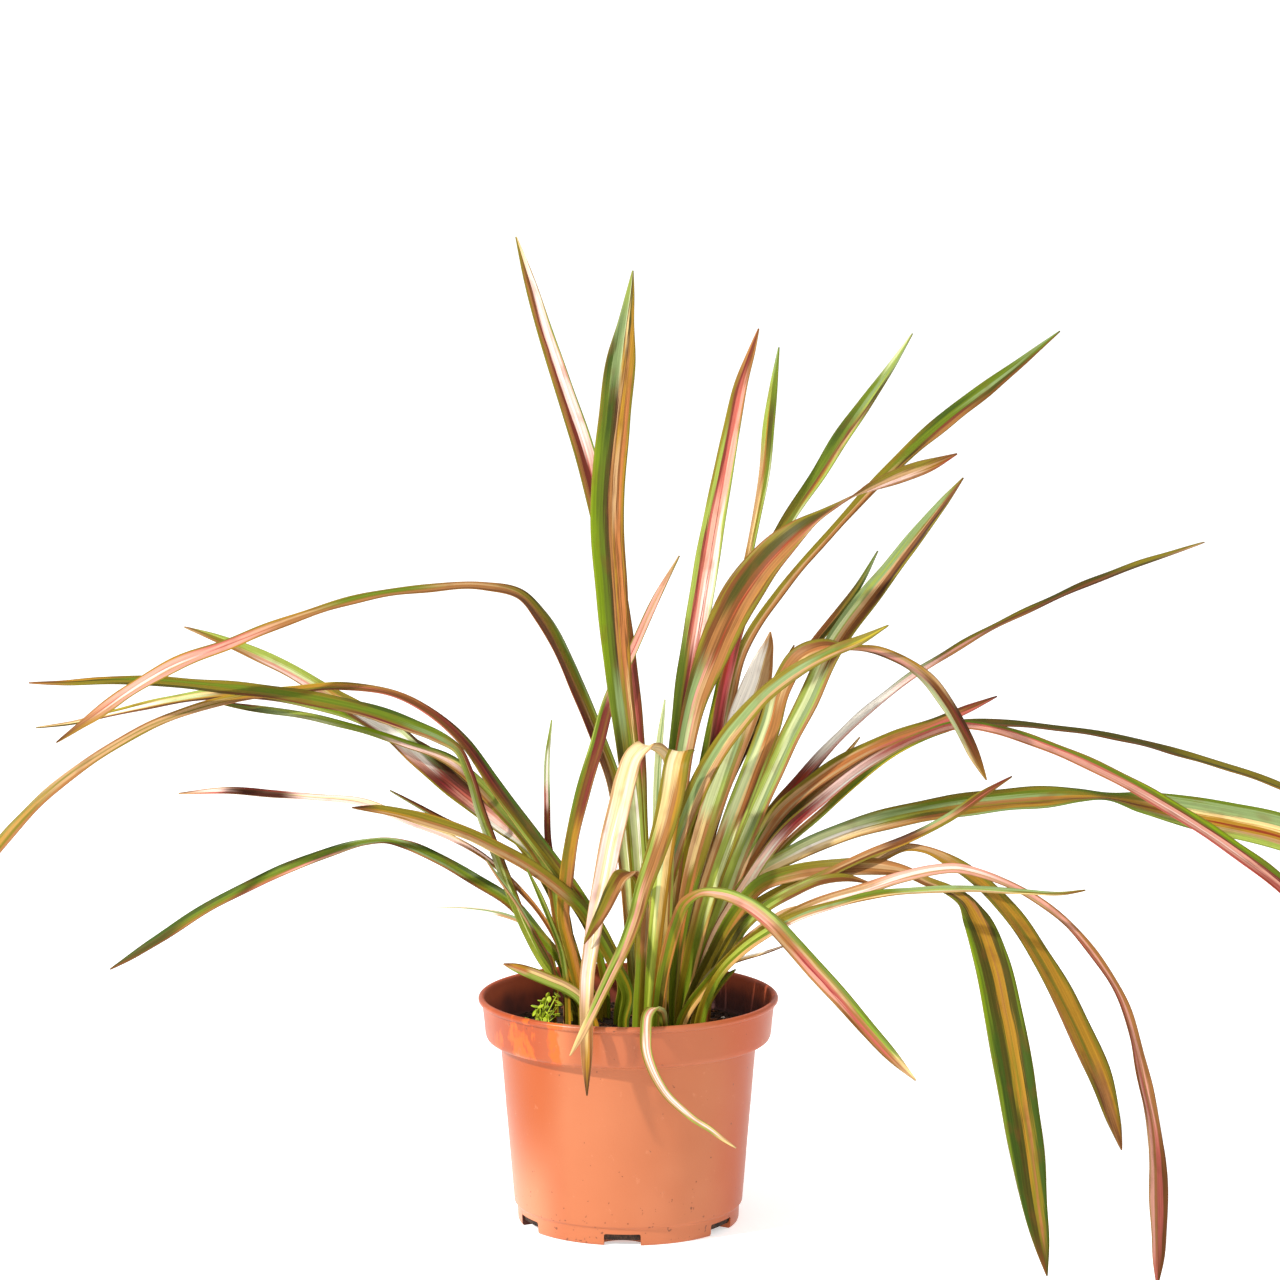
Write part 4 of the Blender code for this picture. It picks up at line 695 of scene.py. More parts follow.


# %% [markdown]
# ## The leaf colours
# A flax leaf is coloured in stripes that run its whole length. The table gives each leaf the paint of its
# margin and then its stretches from the soil to the tip, with a slash between them. A stretch is the
# percentage of the length where it begins and its stripes from the left edge to the right as the leaf rises,
# and a number after a paint is the stripe's width, which is 10 where none is given. A colour ramp turns a
# stretch into stripes, and noise stretched along the blade frays their edges and draws the fine veins, so
# that no two leaves match.
# Some pale celery stripes on a few broad leaves are partly painted highlight, for the blades' gloss.

# %% The paints
PAINTS = {name: linear(*screen) for name, *screen in (
    ("white", 234, 228, 216), ("cream", 224, 200, 156), ("straw", 208, 178, 120), ("tan", 170, 134, 92),
    ("bronze", 144, 97, 52), ("brown", 104, 62, 28), ("umber", 64, 36, 18), ("ochre", 152, 112, 32),
    ("orange", 164, 102, 54), ("yellow", 164, 148, 34), ("blush", 230, 192, 180), ("pink", 200, 140, 122),
    ("rose", 166, 84, 72), ("crimson", 144, 46, 48), ("red", 134, 42, 24), ("maroon", 104, 43, 33),
    ("wine", 62, 28, 18), ("celery", 178, 186, 134), ("lime", 136, 150, 64), ("grass", 110, 132, 14),
    ("green", 90, 106, 24), ("sage", 120, 138, 86), ("pine", 58, 76, 20), ("olive", 114, 102, 26),
    ("moss", 68, 64, 18))}
LOOKS = {}


def look(leaf_name, rim, text, flecks=0.2):
    """One leaf's margin, its stretches of stripes, and how thickly it is flecked."""
    stretches = []
    for stretch in text.split("/"):
        percent, words = stretch.split(":")
        stripes = []
        for word in words.split():
            if word in PAINTS:
                stripes.append((word, 1.0))
            else:
                stripes[-1] = (stripes[-1][0], int(word) / 10)
        stretches.append((float(percent) / 100, stripes))
    LOOKS["leaf_" + leaf_name] = (rim, stretches, flecks)


print(len(PAINTS), "paints")

# %% The stripes of the leaves in the middle
look("small_over_rim", "olive", """
  0: green olive lime / 20: olive 6 lime straw celery / 36: olive 7 lime 7 pink 8 blush tan lime 5 /
  50: olive 5 tan 8 blush 9 tan 6 blush 9 pink lime 5 / 80: lime 7 tan 8 blush 8 pink 5 straw 5 lime 5 /
  93: straw tan""")
look("kinked_front_right", "olive", """
  0: green 20 moss 20 bronze 6 / 20: bronze green 16 olive 12 bronze 6 / 32: bronze olive bronze green /
  38.5: green 5 lime 8 pink tan olive 4 / 47: green 8 lime 5 tan pink 14 rose 4 bronze 5 /
  57: green olive 5 bronze 14 tan 6 brown 4 / 64: green 8 olive 5 tan 6 rose 8 crimson 3 pink 8 bronze 6 /
  80: green 8 grass 6 bronze rose 6 bronze 6 brown 4 / 95: straw tan""")
look("folded_yellow", "olive", """
  0: green lime ochre / 20: lime celery straw ochre / 46: olive 7 cream 20 straw 16 ochre olive 16 /
  55: olive straw 20 tan 8 bronze 12 ochre 8 olive /
  63: olive lime 8 bronze 18 brown 4 bronze 14 brown 4 olive 8 /
  71: green lime 12 pink 8 tan brown 4 bronze 8 olive 8 / 82: tan 6 lime 12 green 8 pink 8 tan 12 olive 8 /
  94: straw tan""")
look("short_brown", "tan", """
  0: green olive / 35: olive bronze tan 6 / 62: olive 12 brown bronze tan 5 /
  78: moss 8 olive 16 bronze brown 8 / 92: olive brown""")
look("straw_arch", "tan", """
  0: green 20 olive tan 6 / 16: tan straw 14 bronze 5 lime 5 / 28: tan bronze 4 straw 14 tan 6 /
  38: straw 14 cream 20 straw 8 tan 6 / 48: tan 5 cream 20 straw 7 blush 6 cream 14 tan 6 /
  58: tan 4 blush 14 cream 12 white 6 straw 3 cream 8 blush 12 tan 4 /
  78: tan 3 blush 14 cream 12 white 3 straw 6 tan 6 / 86: tan straw 8 bronze / 93: bronze ochre brown 6 /
  97.5: umber""")
look("arching_green", "olive", """
  0: green 20 olive bronze / 15: tan green 16 olive 14 straw 4 /
  28: olive lime 14 sage 8 tan bronze 6 olive 4 / 45: olive 12 sage 16 straw 4 tan 12 bronze 5 olive 4 /
  65: olive 12 sage 18 tan 8 olive 8 / 85: olive 8 green ochre 4 tan 6 olive 5 /
  93: olive yellow 6 olive 6""")
# Partly painted highlight: the pale celery stripes of this leaf stand for its gloss as well as its colour.
look("broad_upright", "olive", """
  0: green 20 grass pine green / 12: olive green sage 20 olive /
  22: olive 8 lime celery 24 white 6 lime 16 olive 3 / 34: moss 20 olive 14 green 16 straw 4 olive /
  41: green 22 sage 22 olive bronze 8 straw 3 brown /
  48: grass 30 green 18 moss umber 5 bronze 9 ochre 8 brown 4 orange 12 brown 3 ochre 8 brown 5 /
  68: grass 20 green 18 moss 12 umber 6 bronze brown 3 tan 9 brown 3 orange 9 ochre 6 olive 4 /
  78: olive 5 green 16 pine 12 moss 8 umber 5 tan 6 brown 3 ochre 9 brown 3 orange 8 olive 5 /
  86: moss 5 pine sage 20 celery 5 ochre 6 umber 5 bronze 8 ochre 8 olive 4 /
  91: sage 26 celery 5 umber 5 straw 5 moss 6 ochre 12 / 96: lime 14 celery 6 moss 8 olive 8""")
look("pale_sliver", "lime", """
  0: sage olive / 50: celery 20 sage celery""")
look("tall_left", "olive", """
  0: green 20 olive lime / 17: green 20 moss 14 lime olive 6 /
  32: olive 20 maroon maroon 14 rose 14 maroon brown 6 / 48: olive 16 maroon 20 rose 8 brown 12 /
  62: olive 6 bronze 8 maroon 20 rose 6 pink 20 blush 5 lime 5 /
  73: olive 6 bronze maroon 13 blush white 8 blush 14 lime 5 /
  80: olive 6 bronze 12 maroon blush 12 white 8 blush 12 pink 4 lime 5 /
  91: olive 8 bronze 8 brown 8 wine 5 blush 20 white 6 tan 4 / 97: olive straw""")
look("crimson_upright", "olive", """
  0: green 20 olive 20 tan / 20: tan lime olive straw / 35: green 20 olive maroon 16 brown /
  46: green 20 olive 6 maroon 8 rose 12 crimson 5 pink celery 5 /
  55: lime 22 maroon 5 rose 8 pink 12 blush maroon 3 pink blush celery 14 /
  66: lime 16 maroon 4 rose 8 pink 14 maroon 3 pink blush lime /
  76: olive 8 lime 8 maroon 8 rose 14 pink 18 lime 6 / 86: olive maroon rose 14 pink bronze 6 /
  93: bronze maroon brown bronze 6""")
look("long_arch_left", "ochre", """
  0: green olive bronze / 8: bronze 7 tan 7 celery 20 lime 8 / 18: brown 8 celery 24 white 4 lime 6 /
  23: tan 16 bronze olive 20 lime / 28: maroon 16 brown 14 tan 7 olive 14 lime /
  35: maroon brown 18 bronze 7 olive 16 green 8 sage 7 / 45: maroon 6 brown 18 bronze olive 14 moss 6 /
  50: brown 8 bronze 16 tan 6 bronze 8 / 58: umber 3 bronze 20 olive 8 green 20 olive 5 /
  69: brown 3 bronze 20 tan 8 ochre 8 / 76: ochre 4 pink 16 rose 6 pink rose 5 olive 4 /
  83: olive 4 pink 11 tan 5 blush 6 rose 3 pink ochre 5 / 94: ochre bronze / 98: umber""")

# %% The stripes of the leaves on the left
look("short_over_left_rim", "olive", """
  0: olive 20 ochre / 35: green 8 lime 20 bronze 4 straw tan 14 olive 6 /
  82: lime 6 tan orange ochre brown 4 / 95: bronze brown""")
look("thin_green_left", "olive", """
  0: olive ochre / 40: green lime olive 5""")
look("olive_left", "olive", """
  0: green 30 olive pine / 20: olive 16 green 16 moss 12 / 42: bronze tan 16 bronze 8 olive 20 /
  62: straw 4 tan 18 bronze 8 olive 20 ochre 5 / 84: bronze 7 tan 6 ochre olive 20 / 95: brown umber""")
look("red_left", "olive", """
  0: olive ochre bronze 16 / 26: ochre 14 olive bronze 14 brown 8 / 36: olive 20 ochre 20 bronze 8 /
  45: green 12 olive 8 brown 16 maroon 16 bronze 5 / 56: lime 6 green 8 maroon 20 brown 12 maroon 8 /
  70: olive 3 pink 14 rose 4 pink lime 4 / 84: olive 3 pink tan 5 pink 8 olive 3 / 95: tan olive 6""")
look("bent_green_left", "moss", """
  0: moss 20 green / 7: lime 16 green 14 moss 8 / 15: lime 26 celery 8 green 14 brown 8 /
  25: celery 18 lime 20 olive 8 brown 8 wine 9 / 36: lime 24 olive 8 tan 6 maroon 16 /
  43: tan bronze 8 sage 20 green 20 / 49: tan 6 maroon 9 olive 8 green 24 pine /
  58: brown 8 olive 14 green 20 olive / 74: moss olive 16 green 12 olive / 89: olive 16 moss 6 ochre 8 /
  96: bronze brown""")
look("light_green_left", "olive", """
  0: olive ochre green / 20: bronze 7 ochre 5 lime 20 green / 33: olive 8 bronze 6 lime 26 green /
  46: orange 8 tan 12 olive 5 lime 20 / 54: brown 5 tan 8 blush 16 straw 8 lime green 5 /
  61: brown 4 blush 22 lime grass / 68: lime 20 grass 14 / 78: celery 16 lime 24 / 86.5: sage 20 lime /
  90.5: moss 20 pine umber""")
look("withered_left", "tan", """
  0: brown 16 bronze / 33: bronze blush brown 7 / 44: blush 24 cream tan 5 /
  64: blush 14 tan 4 cream 8 blush tan 3 / 77.5: wine 20 umber maroon 8 / 90.5: rose 8 blush 14 tan 5 /
  96: tan brown 7""")
look("purple_arch_left", "bronze", """
  0: green 20 olive brown 5 / 10: moss 14 olive 14 brown 6 green / 20: lime 8 olive moss 16 pine /
  27: olive 6 brown maroon wine pine 12 / 35: rose 4 brown 16 maroon umber 6 /
  40: rose 5 brown 20 bronze 6 / 45: brown 14 rose 3 bronze 8 olive 6 /
  48.5: brown 8 olive 8 ochre yellow 4 / 55: bronze ochre olive yellow 4 / 61: tan olive 6 tan ochre 6 /
  67: olive 6 tan olive 5 tan 8 bronze 5 / 75: bronze 8 tan olive 6 tan 6 / 81: bronze olive ochre olive 8 /
  96: brown bronze""")
look("grey_stem_left", "brown", """
  0: moss brown / 60: tan brown 7 sage""")
look("channelled_left", "olive", """
  0: olive ochre olive / 18: olive ochre 6 bronze brown 7 / 27: lime celery 8 tan olive /
  33.5: olive 4 white blush pink 6 bronze 6 / 42: olive 6 rose 8 pink 12 rose 8 maroon 8 umber 6 /
  47: olive 4 maroon 12 crimson 8 maroon 12 wine 8 umber / 50: olive 4 maroon 14 wine 8 maroon 14 wine 14 /
  53.5: bronze 7 pink 16 white sage 6 moss 8 / 57: bronze 6 blush white 30 celery umber 5 /
  65: bronze 9 brown 3 white 18 blush 8 olive / 70: bronze tan 16 ochre 8 olive /
  75.5: bronze 5 blush pink celery 8 lime 16 / 86: bronze 6 tan 12 lime 18 / 91: bronze 8 olive 16 lime /
  97: tan brown""")
look("hanging_left", "moss", """
  0: green 20 olive / 17: brown 7 olive 8 green 20 pine 16 / 34: bronze 8 sage green 18 pine 14 /
  43: brown 8 green 20 sage rose 4 / 49: tan 5 sage green 16 sage 8 /
  55: tan 4 pink 5 rose 5 green 20 pine / 66: rose 4 bronze 9 olive 6 green 16 pine /
  75: bronze 6 olive 12 green pine 14 / 86: brown 5 moss 24 pine / 96.5: brown moss""")
look("inner_dark_left", "brown", """
  0: olive green / 30: olive moss / 50: bronze brown / 72: sage 6 brown umber""")
look("pale_thread_left", "sage", """
  0: brown olive / 55: tan sage 7 / 70: white sage blush 6""")
look("white_left", "brown", """
  0: green 20 olive / 18: olive 7 celery lime / 29: tan 8 blush lime / 37: bronze tan orange 8 brown 6 /
  48: lime grass 14 celery / 64: umber 8 ochre brown olive / 75: umber 6 ochre 7 celery 12 straw lime 7 /
  83: brown straw white 14 olive 8 yellow 8 / 92: moss straw 14 tan""")
look("upright_sliver_left", "sage", """
  0: ochre olive / 30: brown 14 bronze 6 maroon / 55: maroon brown maroon 8 / 72.5: rose 7 blush sage 8 /
  79: celery white celery / 90: lime celery 6""")

# %% The stripes of the leaves on the right, the nearer half
look("level_green_right", "olive", """
  0: olive green / 20: lime green tan / 34: olive sage tan blush 5 / 50: green 16 olive straw 6 bronze 6 /
  62: sage 14 lime 8 celery 6 tan 8 / 85: sage olive straw 4 / 95: olive brown""")
look("pink_hanging_right", "brown", """
  0: green olive tan / 12: olive bronze tan 6 / 24: bronze 6 tan blush olive 8 /
  34: pink blush tan 5 pink 8 tan 3 / 47: bronze 6 pink 16 tan bronze 6 /
  57: bronze 12 pink 8 bronze 5 rose 5 brown 4 / 75: bronze pink 5 bronze 6 rose 5 pink 4 brown 6 /
  83: brown 9 rose 8 bronze 9 pink 9 tan 3 / 89: brown 9 rose bronze 8 pink 8 tan 3 / 97: brown rose""")
look("short_dark_right", "brown", """
  0: moss 20 olive / 75: moss bronze 6""")
look("short_tan_right", "straw", """
  0: olive moss / 35: bronze tan 14 orange 7 / 70: tan blush 8 bronze / 92: tan brown""")
look("withered_stalk_right", "brown", """
  0: moss 14 brown / 50: brown straw 8 / 66: white straw 14 brown 5 / 85: tan white 6 brown 8""")
look("short_green_right", "brown", """
  0: moss 20 olive brown 7 / 50: moss green olive 6""")
look("short_olive_right", "olive", """
  0: moss 20 olive green / 50: green lime 12 olive 8 / 66: lime 6 olive 14 brown 8 / 80: olive brown 14 /
  93: bronze brown""")
look("brown_blade_right", "olive", """
  0: moss olive brown / 40: olive bronze brown ochre 5 / 55: bronze tan 6 brown olive 6 /
  68: umber 8 brown 18 ochre 5 / 77.5: sage 8 tan olive / 86: olive 6 brown rose 4 brown /
  95: maroon brown""")
look("broad_hanging_right", "olive", """
  0: moss olive / 16: green 15 olive bronze 8 / 27: olive 14 bronze 18 tan 6 /
  36: bronze tan bronze brown 6 / 45: olive tan 6 brown 8 / 50: moss bronze 6 ochre 16 moss green /
  56: green 6 moss 15 ochre 8 bronze 4 ochre 8 moss 18 green grass 7 /
  68: pine 16 moss 5 ochre 7 olive 4 ochre 7 olive 4 moss 13 pine 12 green 9 /
  79: pine 13 olive 7 bronze 7 olive 3 ochre 6 moss 16 pine 16 green 6 /
  88: pine 8 olive 8 bronze 7 olive 7 moss 20 pine / 96.5: moss brown""")
look("ochre_hanging_right", "moss", """
  0: moss olive / 18: olive 16 bronze tan 6 / 32: olive 8 tan bronze / 42: bronze 5 tan 16 ochre /
  53: olive 12 ochre 24 olive 8 / 65: olive ochre 16 olive 9 ochre 14 olive 6 /
  77: olive 8 ochre 16 olive 7 ochre 14 bronze 6 / 89: olive 6 ochre 6 bronze 20 brown 6 olive 6 /
  96.5: brown bronze 6""", flecks=0.5)
look("arch_over_right", "brown", """
  0: olive 20 green 20 tan 8 / 20: tan 8 bronze 8 lime 16 celery 8 olive 8 /
  35: lime 8 celery 18 straw 6 orange brown 6 lime 7 /
  46: olive 5 sage celery 14 orange 5 bronze 26 olive 6 / 55: olive 6 bronze 24 straw 3 tan bronze /
  64: olive 8 brown 9 orange tan bronze 5 / 73: ochre 8 tan pink 16 rose 5 moss 4 /
  82: tan 8 brown 13 umber 5 tan 4 celery 15 / 87: umber maroon 6 brown 12 bronze 4 celery 16 /
  94.5: brown 18 bronze 8 straw 8 / 98.5: ochre""")
look("pink_arch_right", "rose", """
  0: green olive / 9: brown 3 blush 26 white lime 6 / 19: olive 4 blush 14 white 8 blush 8 lime 6 /
  24.5: olive 6 maroon crimson 8 rose / 31.5: maroon 3 blush 30 white 8 pink 6 /
  38.5: bronze 6 rose 12 pink 12 lime 4 / 44: green 8 rose 6 pink 16 bronze 6 /
  54: olive 5 green 9 rose 4 pink 24 bronze 5 /
  69: grass 9 green 8 maroon 4 pink 13 blush 4 pink 13 rose 7 / 83: green 16 maroon 5 pink rose 18 red 6 /
  95: brown rose""")
# Partly painted highlight: the pale celery stripes of this leaf stand for its gloss as well as its colour.
look("cream_striped", "olive", """
  0: green 16 olive lime 8 / 17: olive lime 18 celery 8 tan 7 /
  33: olive 6 lime 12 celery sage lime 8 bronze 7 / 50: olive 3 lime 8 celery 9 sage lime 6 bronze 6 /
  63: sage 12 celery 5 lime 4 tan 9 bronze 4 brown 14 olive 7 /
  75: sage 12 lime 5 sage 7 tan 6 brown 12 umber 8 olive 6 /
  87: sage 20 olive 5 tan 3 brown 12 umber olive 4 / 96.5: olive brown""")

# %% The stripes of the leaves on the right, the further half
look("broad_pale", "tan", """
  0: green 20 moss 14 bronze 6 / 25: bronze olive orange 7 green / 42: tan 8 straw 8 bronze 8 olive 14 /
  55: tan 6 celery 20 lime olive 8 bronze 6 / 65: tan 6 celery 16 sage olive 6 bronze 8 /
  75.5: white 28 straw 3 tan 14 bronze 7 / 88: white 26 straw 4 tan 16 bronze 8 / 96: tan bronze""",
  flecks=0.9)
# Partly painted highlight: the pale celery stripes of this leaf stand for its gloss as well as its colour.
look("broad_green_right", "green", """
  0: green 20 olive lime / 13: lime celery 16 cream 16 olive 6 /
  24: sage 8 celery 16 white 8 cream 12 straw bronze 3 / 33.5: olive 5 sage 18 lime olive 8 tan bronze 6 /
  38: olive 8 green sage 8 olive 8 moss brown ochre 4 bronze 6 /
  43.5: olive 8 green 9 sage 6 bronze 8 olive 5 brown 4 ochre 5 olive 5 sage 5 /
  55: green olive 9 ochre 8 brown 6 ochre 4 olive 5 green 8 /
  65: green 6 sage 18 straw 8 ochre 8 red 3 ochre 8 tan 5 lime 12 / 95: green olive""")
look("thin_green_right", "olive", """
  0: olive brown / 45: bronze 6 tan 5 olive lime 8 / 65: olive green 14 yellow 4 / 90: olive green 7""")
# Partly painted highlight: the pale celery stripes of this leaf stand for its gloss as well as its colour.
look("broad_bronze", "brown", """
  0: green 20 olive bronze 6 / 20: tan 8 olive straw 6 bronze 8 /
  35: brown 5 sage 12 celery 8 pink 4 tan bronze 6 / 46: moss 9 sage 14 pink 4 tan 11 bronze 14 olive 6 /
  53: olive brown 12 bronze brown red 3 brown 5 bronze 14 olive 8 /
  61: olive 8 brown moss 16 brown 12 red 4 bronze 20 ochre 4 brown 4 olive 8 /
  70: bronze 4 olive moss 16 brown 7 red 4 bronze 20 olive 4 bronze 5 /
  76.5: olive 6 moss 14 brown 8 rose 4 tan 6 / 80.5: olive 8 brown bronze 8 /
  83.5: bronze 6 pink 8 tan 8 brown 6 / 87.5: bronze 8 blush tan 8 olive /
  93.5: bronze 8 ochre 8 tan 5 olive 12 / 97: red 6 brown""")
look("bronze_right", "maroon", """
  0: green 20 olive bronze / 22: lime green 14 tan bronze 6 / 34: olive 8 green tan 12 orange 8 bronze 6 /
  47: olive tan 12 orange 12 tan 8 bronze 5 / 58: olive 14 tan 6 orange 14 tan 8 bronze 8 /
  73: olive bronze orange rose 8 bronze 5 / 85: moss 7 bronze 8 rose 16 / 92: maroon 8 brown rose /
  98: umber""")
look("thin_dark_right", "moss", """
  0: olive brown / 18: moss 14 brown / 31: bronze 12 tan brown 5 / 42: olive green moss 6 /
  50: moss 24 brown 8 / 76: olive 20 moss 8 ochre 4 / 90: olive 16 ochre""")
look("red_inner", "olive", """
  0: olive bronze / 20: bronze olive 8 brown 8 / 32: olive 4 wine 8 maroon crimson 8 rose 8 /
  41: maroon 14 crimson 12 rose 6 pink 4 / 48: olive 6 red 9 crimson 14 maroon 6 rose 4 /
  57: olive maroon 16 crimson olive / 66: olive 16 green celery 5 / 73: green 24 brown 9 ochre 6 lime 6 /
  81: pine 16 green brown 8 tan 4 lime 5 / 87: green 14 sage lime 6 moss / 94: celery 8 lime sage 5""")
look("far_thin_right", "brown", """
  0: olive ochre / 22: olive brown moss 6 / 32.5: maroon red wine 6 / 40: white 20 blush pink 4 /
  46: white 24 blush 6 / 54: celery 6 blush pink 6 / 59.5: olive pink 8 bronze 9 /
  67: olive 8 brown bronze 4 / 75: moss brown umber 4 / 88: olive 12 moss 6 / 95: olive tan 5""")
look("brown_sliver_right", "brown", """
  0: brown maroon 6 / 80: bronze brown""")
look("slim_upright_right", "olive", """
  0: olive 16 bronze / 33: green 16 olive 8 maroon 12 / 46: grass 6 yellow 5 ochre bronze 6 brown 6 /
  60: ochre 8 tan olive 8 / 71: tan straw 6 olive 8 lime 8 / 79: tan 9 bronze 5 olive 8 green 8 celery 4 /
  85: lime ochre 4 moss 15 green 5 / 92: lime 8 green 15 / 97: sage green""")
look("high_green_right", "olive", """
  0: green 16 olive / 20: celery 14 tan bronze 6 / 38: olive 12 tan 6 bronze 6 brown 4 /
  58: olive 14 tan 4 bronze 6 brown 5 / 73.5: olive green 20 moss 8 bronze 4 olive 4 /
  79: pine green 12 maroon 4 bronze / 86: green 12 sage 8 moss brown 5 / 95: sage green brown 5""")
look("hidden_tip_upper", "brown", """
  0: moss brown / 85: olive bronze""")
look("dark_spear_right", "olive", """
  0: olive brown / 30: umber moss brown 6 / 46: moss 16 olive 6 umber / 72: brown 14 bronze 5 moss olive 6 /
  87: moss olive pine / 95: green sage""")
look("hidden_tip_lower", "olive", """
  0: olive brown / 50: olive 14 bronze / 76: olive ochre 6 bronze / 86: ochre straw 8 tan 6""")
stretch_count = sum(len(stretches) for _, stretches, _ in LOOKS.values())
print(stretch_count, "stretches of stripes on", len(LOOKS), "leaves")

# %% The finish of a striped leaf
STRIPE_BLEND = 0.02
STRETCH_BLEND = 0.03
VEIN_DEPTH = 0.00025
# Painted light: the warm tint that leaf_finish lays over the foot of each leaf.
PAINTED_FOOT_LIGHT = (1.42, 1.32, 0.74, 1)


def stripe_ramp(f, place, stripes):
    """A colour ramp over the width, with a soft step from each stripe to the next."""
    widths = np.array([width for _, width in stripes])
    ends = np.cumsum(widths) / widths.sum()
    stops = [(0.0, stripes[0][0])]
    for (paint, _), (following, _), end in zip(stripes, stripes[1:], ends):
        stops += [(end - STRIPE_BLEND, paint), (end + STRIPE_BLEND, following)]
    stops.append((1.0, stripes[-1][0]))
    ramp = f.tree.nodes.new("ShaderNodeValToRGB")
    f.fill(ramp, {"Fac": place})
    elements = ramp.color_ramp.elements
    while len(elements) < len(stops):
        elements.new(1.0)
    for element, (at, paint) in zip(elements, sorted(stops, key=lambda stop: stop[0])):
        set_all(element, position=min(max(at, 0), 1), color=PAINTS[paint])
    return ramp.outputs[0]


def leaf_finish(name, rim, stretches, flecks):
    """Stripes, veins, flecks, a fine dark margin and painted warm light at the foot, all following the blade.
    """
    f = Finish(name, 0.4, 0.1)
    share_across, share_along, _ = f.add("SeparateXYZ", {0: f.add("UVMap", uv_map="shares")[0]})
    ruler = f.add("UVMap", uv_map="rulers")[0]
    slow = f.cloudy(ruler, 1.0, 3, 0.5, (0.32, 0.011, 1))
    fray = f.cloudy(ruler, 1.0, 3, 0.65, (0.9, 0.012, 1))
    veins = f.cloudy(ruler, 1.0, 3, 0.7, (0.85, 0.008, 1))
    # The stripes wander slowly from side to side, and their edges are frayed.
    wander, frayed = f.scaled(slow, 0.16, -0.08), f.scaled(fray, 0.34, -0.17)
    across = f.maths("ADD", wander, f.maths("ADD", share_across, frayed))
    along = f.maths("ADD", share_along, f.scaled(fray, 0.08, -0.04))
    f.colour = stripe_ramp(f, across, stretches[0][1])
    for begins, stripes in stretches[1:]:
        begun = f.rising(along, begins - STRETCH_BLEND, begins + STRETCH_BLEND)
        f.coat(begun, stripe_ramp(f, across, stripes))
    shade = f.scaled(veins, 1.3, 0.29)
    f.coat(1.0, f.add("CombineXYZ", {0: shade, 1: shade, 2: shade})[0], way="MULTIPLY")
    # Painted light: the foot of the tuft is painted paler and yellower, for the warm light bounced up from
    # the pot and the leaves, over the lowest 40 to 170 mm but never past half of the leaf.
    low = f.rising(f.add("SeparateXYZ", {0: ruler})[1], 170.0, 40.0)
    f.coat(f.times(low, f.rising(share_along, 0.45, 0.2)), PAINTED_FOOT_LIGHT, 0.8, "MULTIPLY")
    patches = f.cloudy(ruler, 1.0, 2, 0.5, (0.12, 0.05, 1))
    f.coat(f.rising(patches, 0.52, 0.75), PAINTS["brown"], 0.35)
    specks = f.cloudy(ruler, 1.0, 2, 0.6, (1.5, 0.9, 1))
    fleck_at = 0.78 - 0.1 * flecks
    f.coat(f.rising(specks, fleck_at, fleck_at + 0.03), PAINTS["umber"])
    margin = f.maths("ABSOLUTE", f.scaled(share_across, 2.0, -1.0))
    f.coat(f.rising(margin, 0.93, 0.99), PAINTS[rim], 0.6)
    return f.complete(veins, VEIN_DEPTH, f.scaled(slow, 0.2, 0.3))


for item in LEAVES:
    make_blade(item, leaf_finish("leaf " + item["name"][5:].replace("_", " "), *LOOKS[item["name"]]))
print("blades made, with stripes on each")

# %% [markdown]
# ## The pot
# A nursery pot is blown or injection moulded in thin plastic, turned round one axis: a small rolled rim, a
# deep collar that stiffens it, a tapered body and a foot with drainage notches. A spin of its outline makes
# exactly that. The notches are cut by a Boolean, and a narrow bevel takes the sharpness off every moulded
# corner.

# %% The pot's sizes
POT_HEIGHT = 145
RIM_RADIUS = 95
RIM_BEAD = 2.1
COLLAR_RADIUS = 92.5
COLLAR_FOOT_RADIUS = 90.6
COLLAR_HEIGHT = 28
LEDGE = POT_HEIGHT - COLLAR_HEIGHT
SHOULDER_RADIUS = 81
SHOULDER_DROP = 2.4
HEEL_RADIUS = 72.6
FOOT_RADIUS = 70.6
FOOT_HEIGHT = 12
FOOT_RING = 9
BASE_RECESS = 1.2
CENTRE_BOSS = 22
WALL = 1.6
FLOOR = 2.8
DRAIN_COUNT = 6
DRAIN_WIDTH = 23
DRAIN_HEIGHT = 7.5
DRAIN_REACH = 14
DRAIN_TURN = math.radians(-93)
DRAIN_CORNER = 0.0012
MOULDED_CORNER = 0.0003
CLEARANCE = 0.3
POT_STEPS = 160
print("a pot", 2 * RIM_RADIUS, "mm across and", POT_HEIGHT, "mm high")

# %% The pot's outline
def spun(name, outline, steps):
    """A closed solid made by spinning an outline of (radius, height) round the Z axis."""
    bm = bmesh.new()
    verts = [bm.verts.new((r * MM, 0, z * MM)) for r, z in outline]
    edges = [bm.edges.new(pair) for pair in zip(verts, verts[1:])]
    bmesh.ops.spin(bm, geom=verts + edges, axis=(0, 0, 1), cent=(0, 0, 0), angle=math.tau, steps=steps,
                   use_merge=True)
    bmesh.ops.remove_doubles(bm, verts=bm.verts, dist=0.00001)
    bmesh.ops.recalc_face_normals(bm, faces=bm.faces)
    return as_mesh(bm, name)


def near(radius, height, *steps):
    """Points of an outline, each given by its step from one radius and height."""
    return [(radius + out, height + up) for out, up in steps]


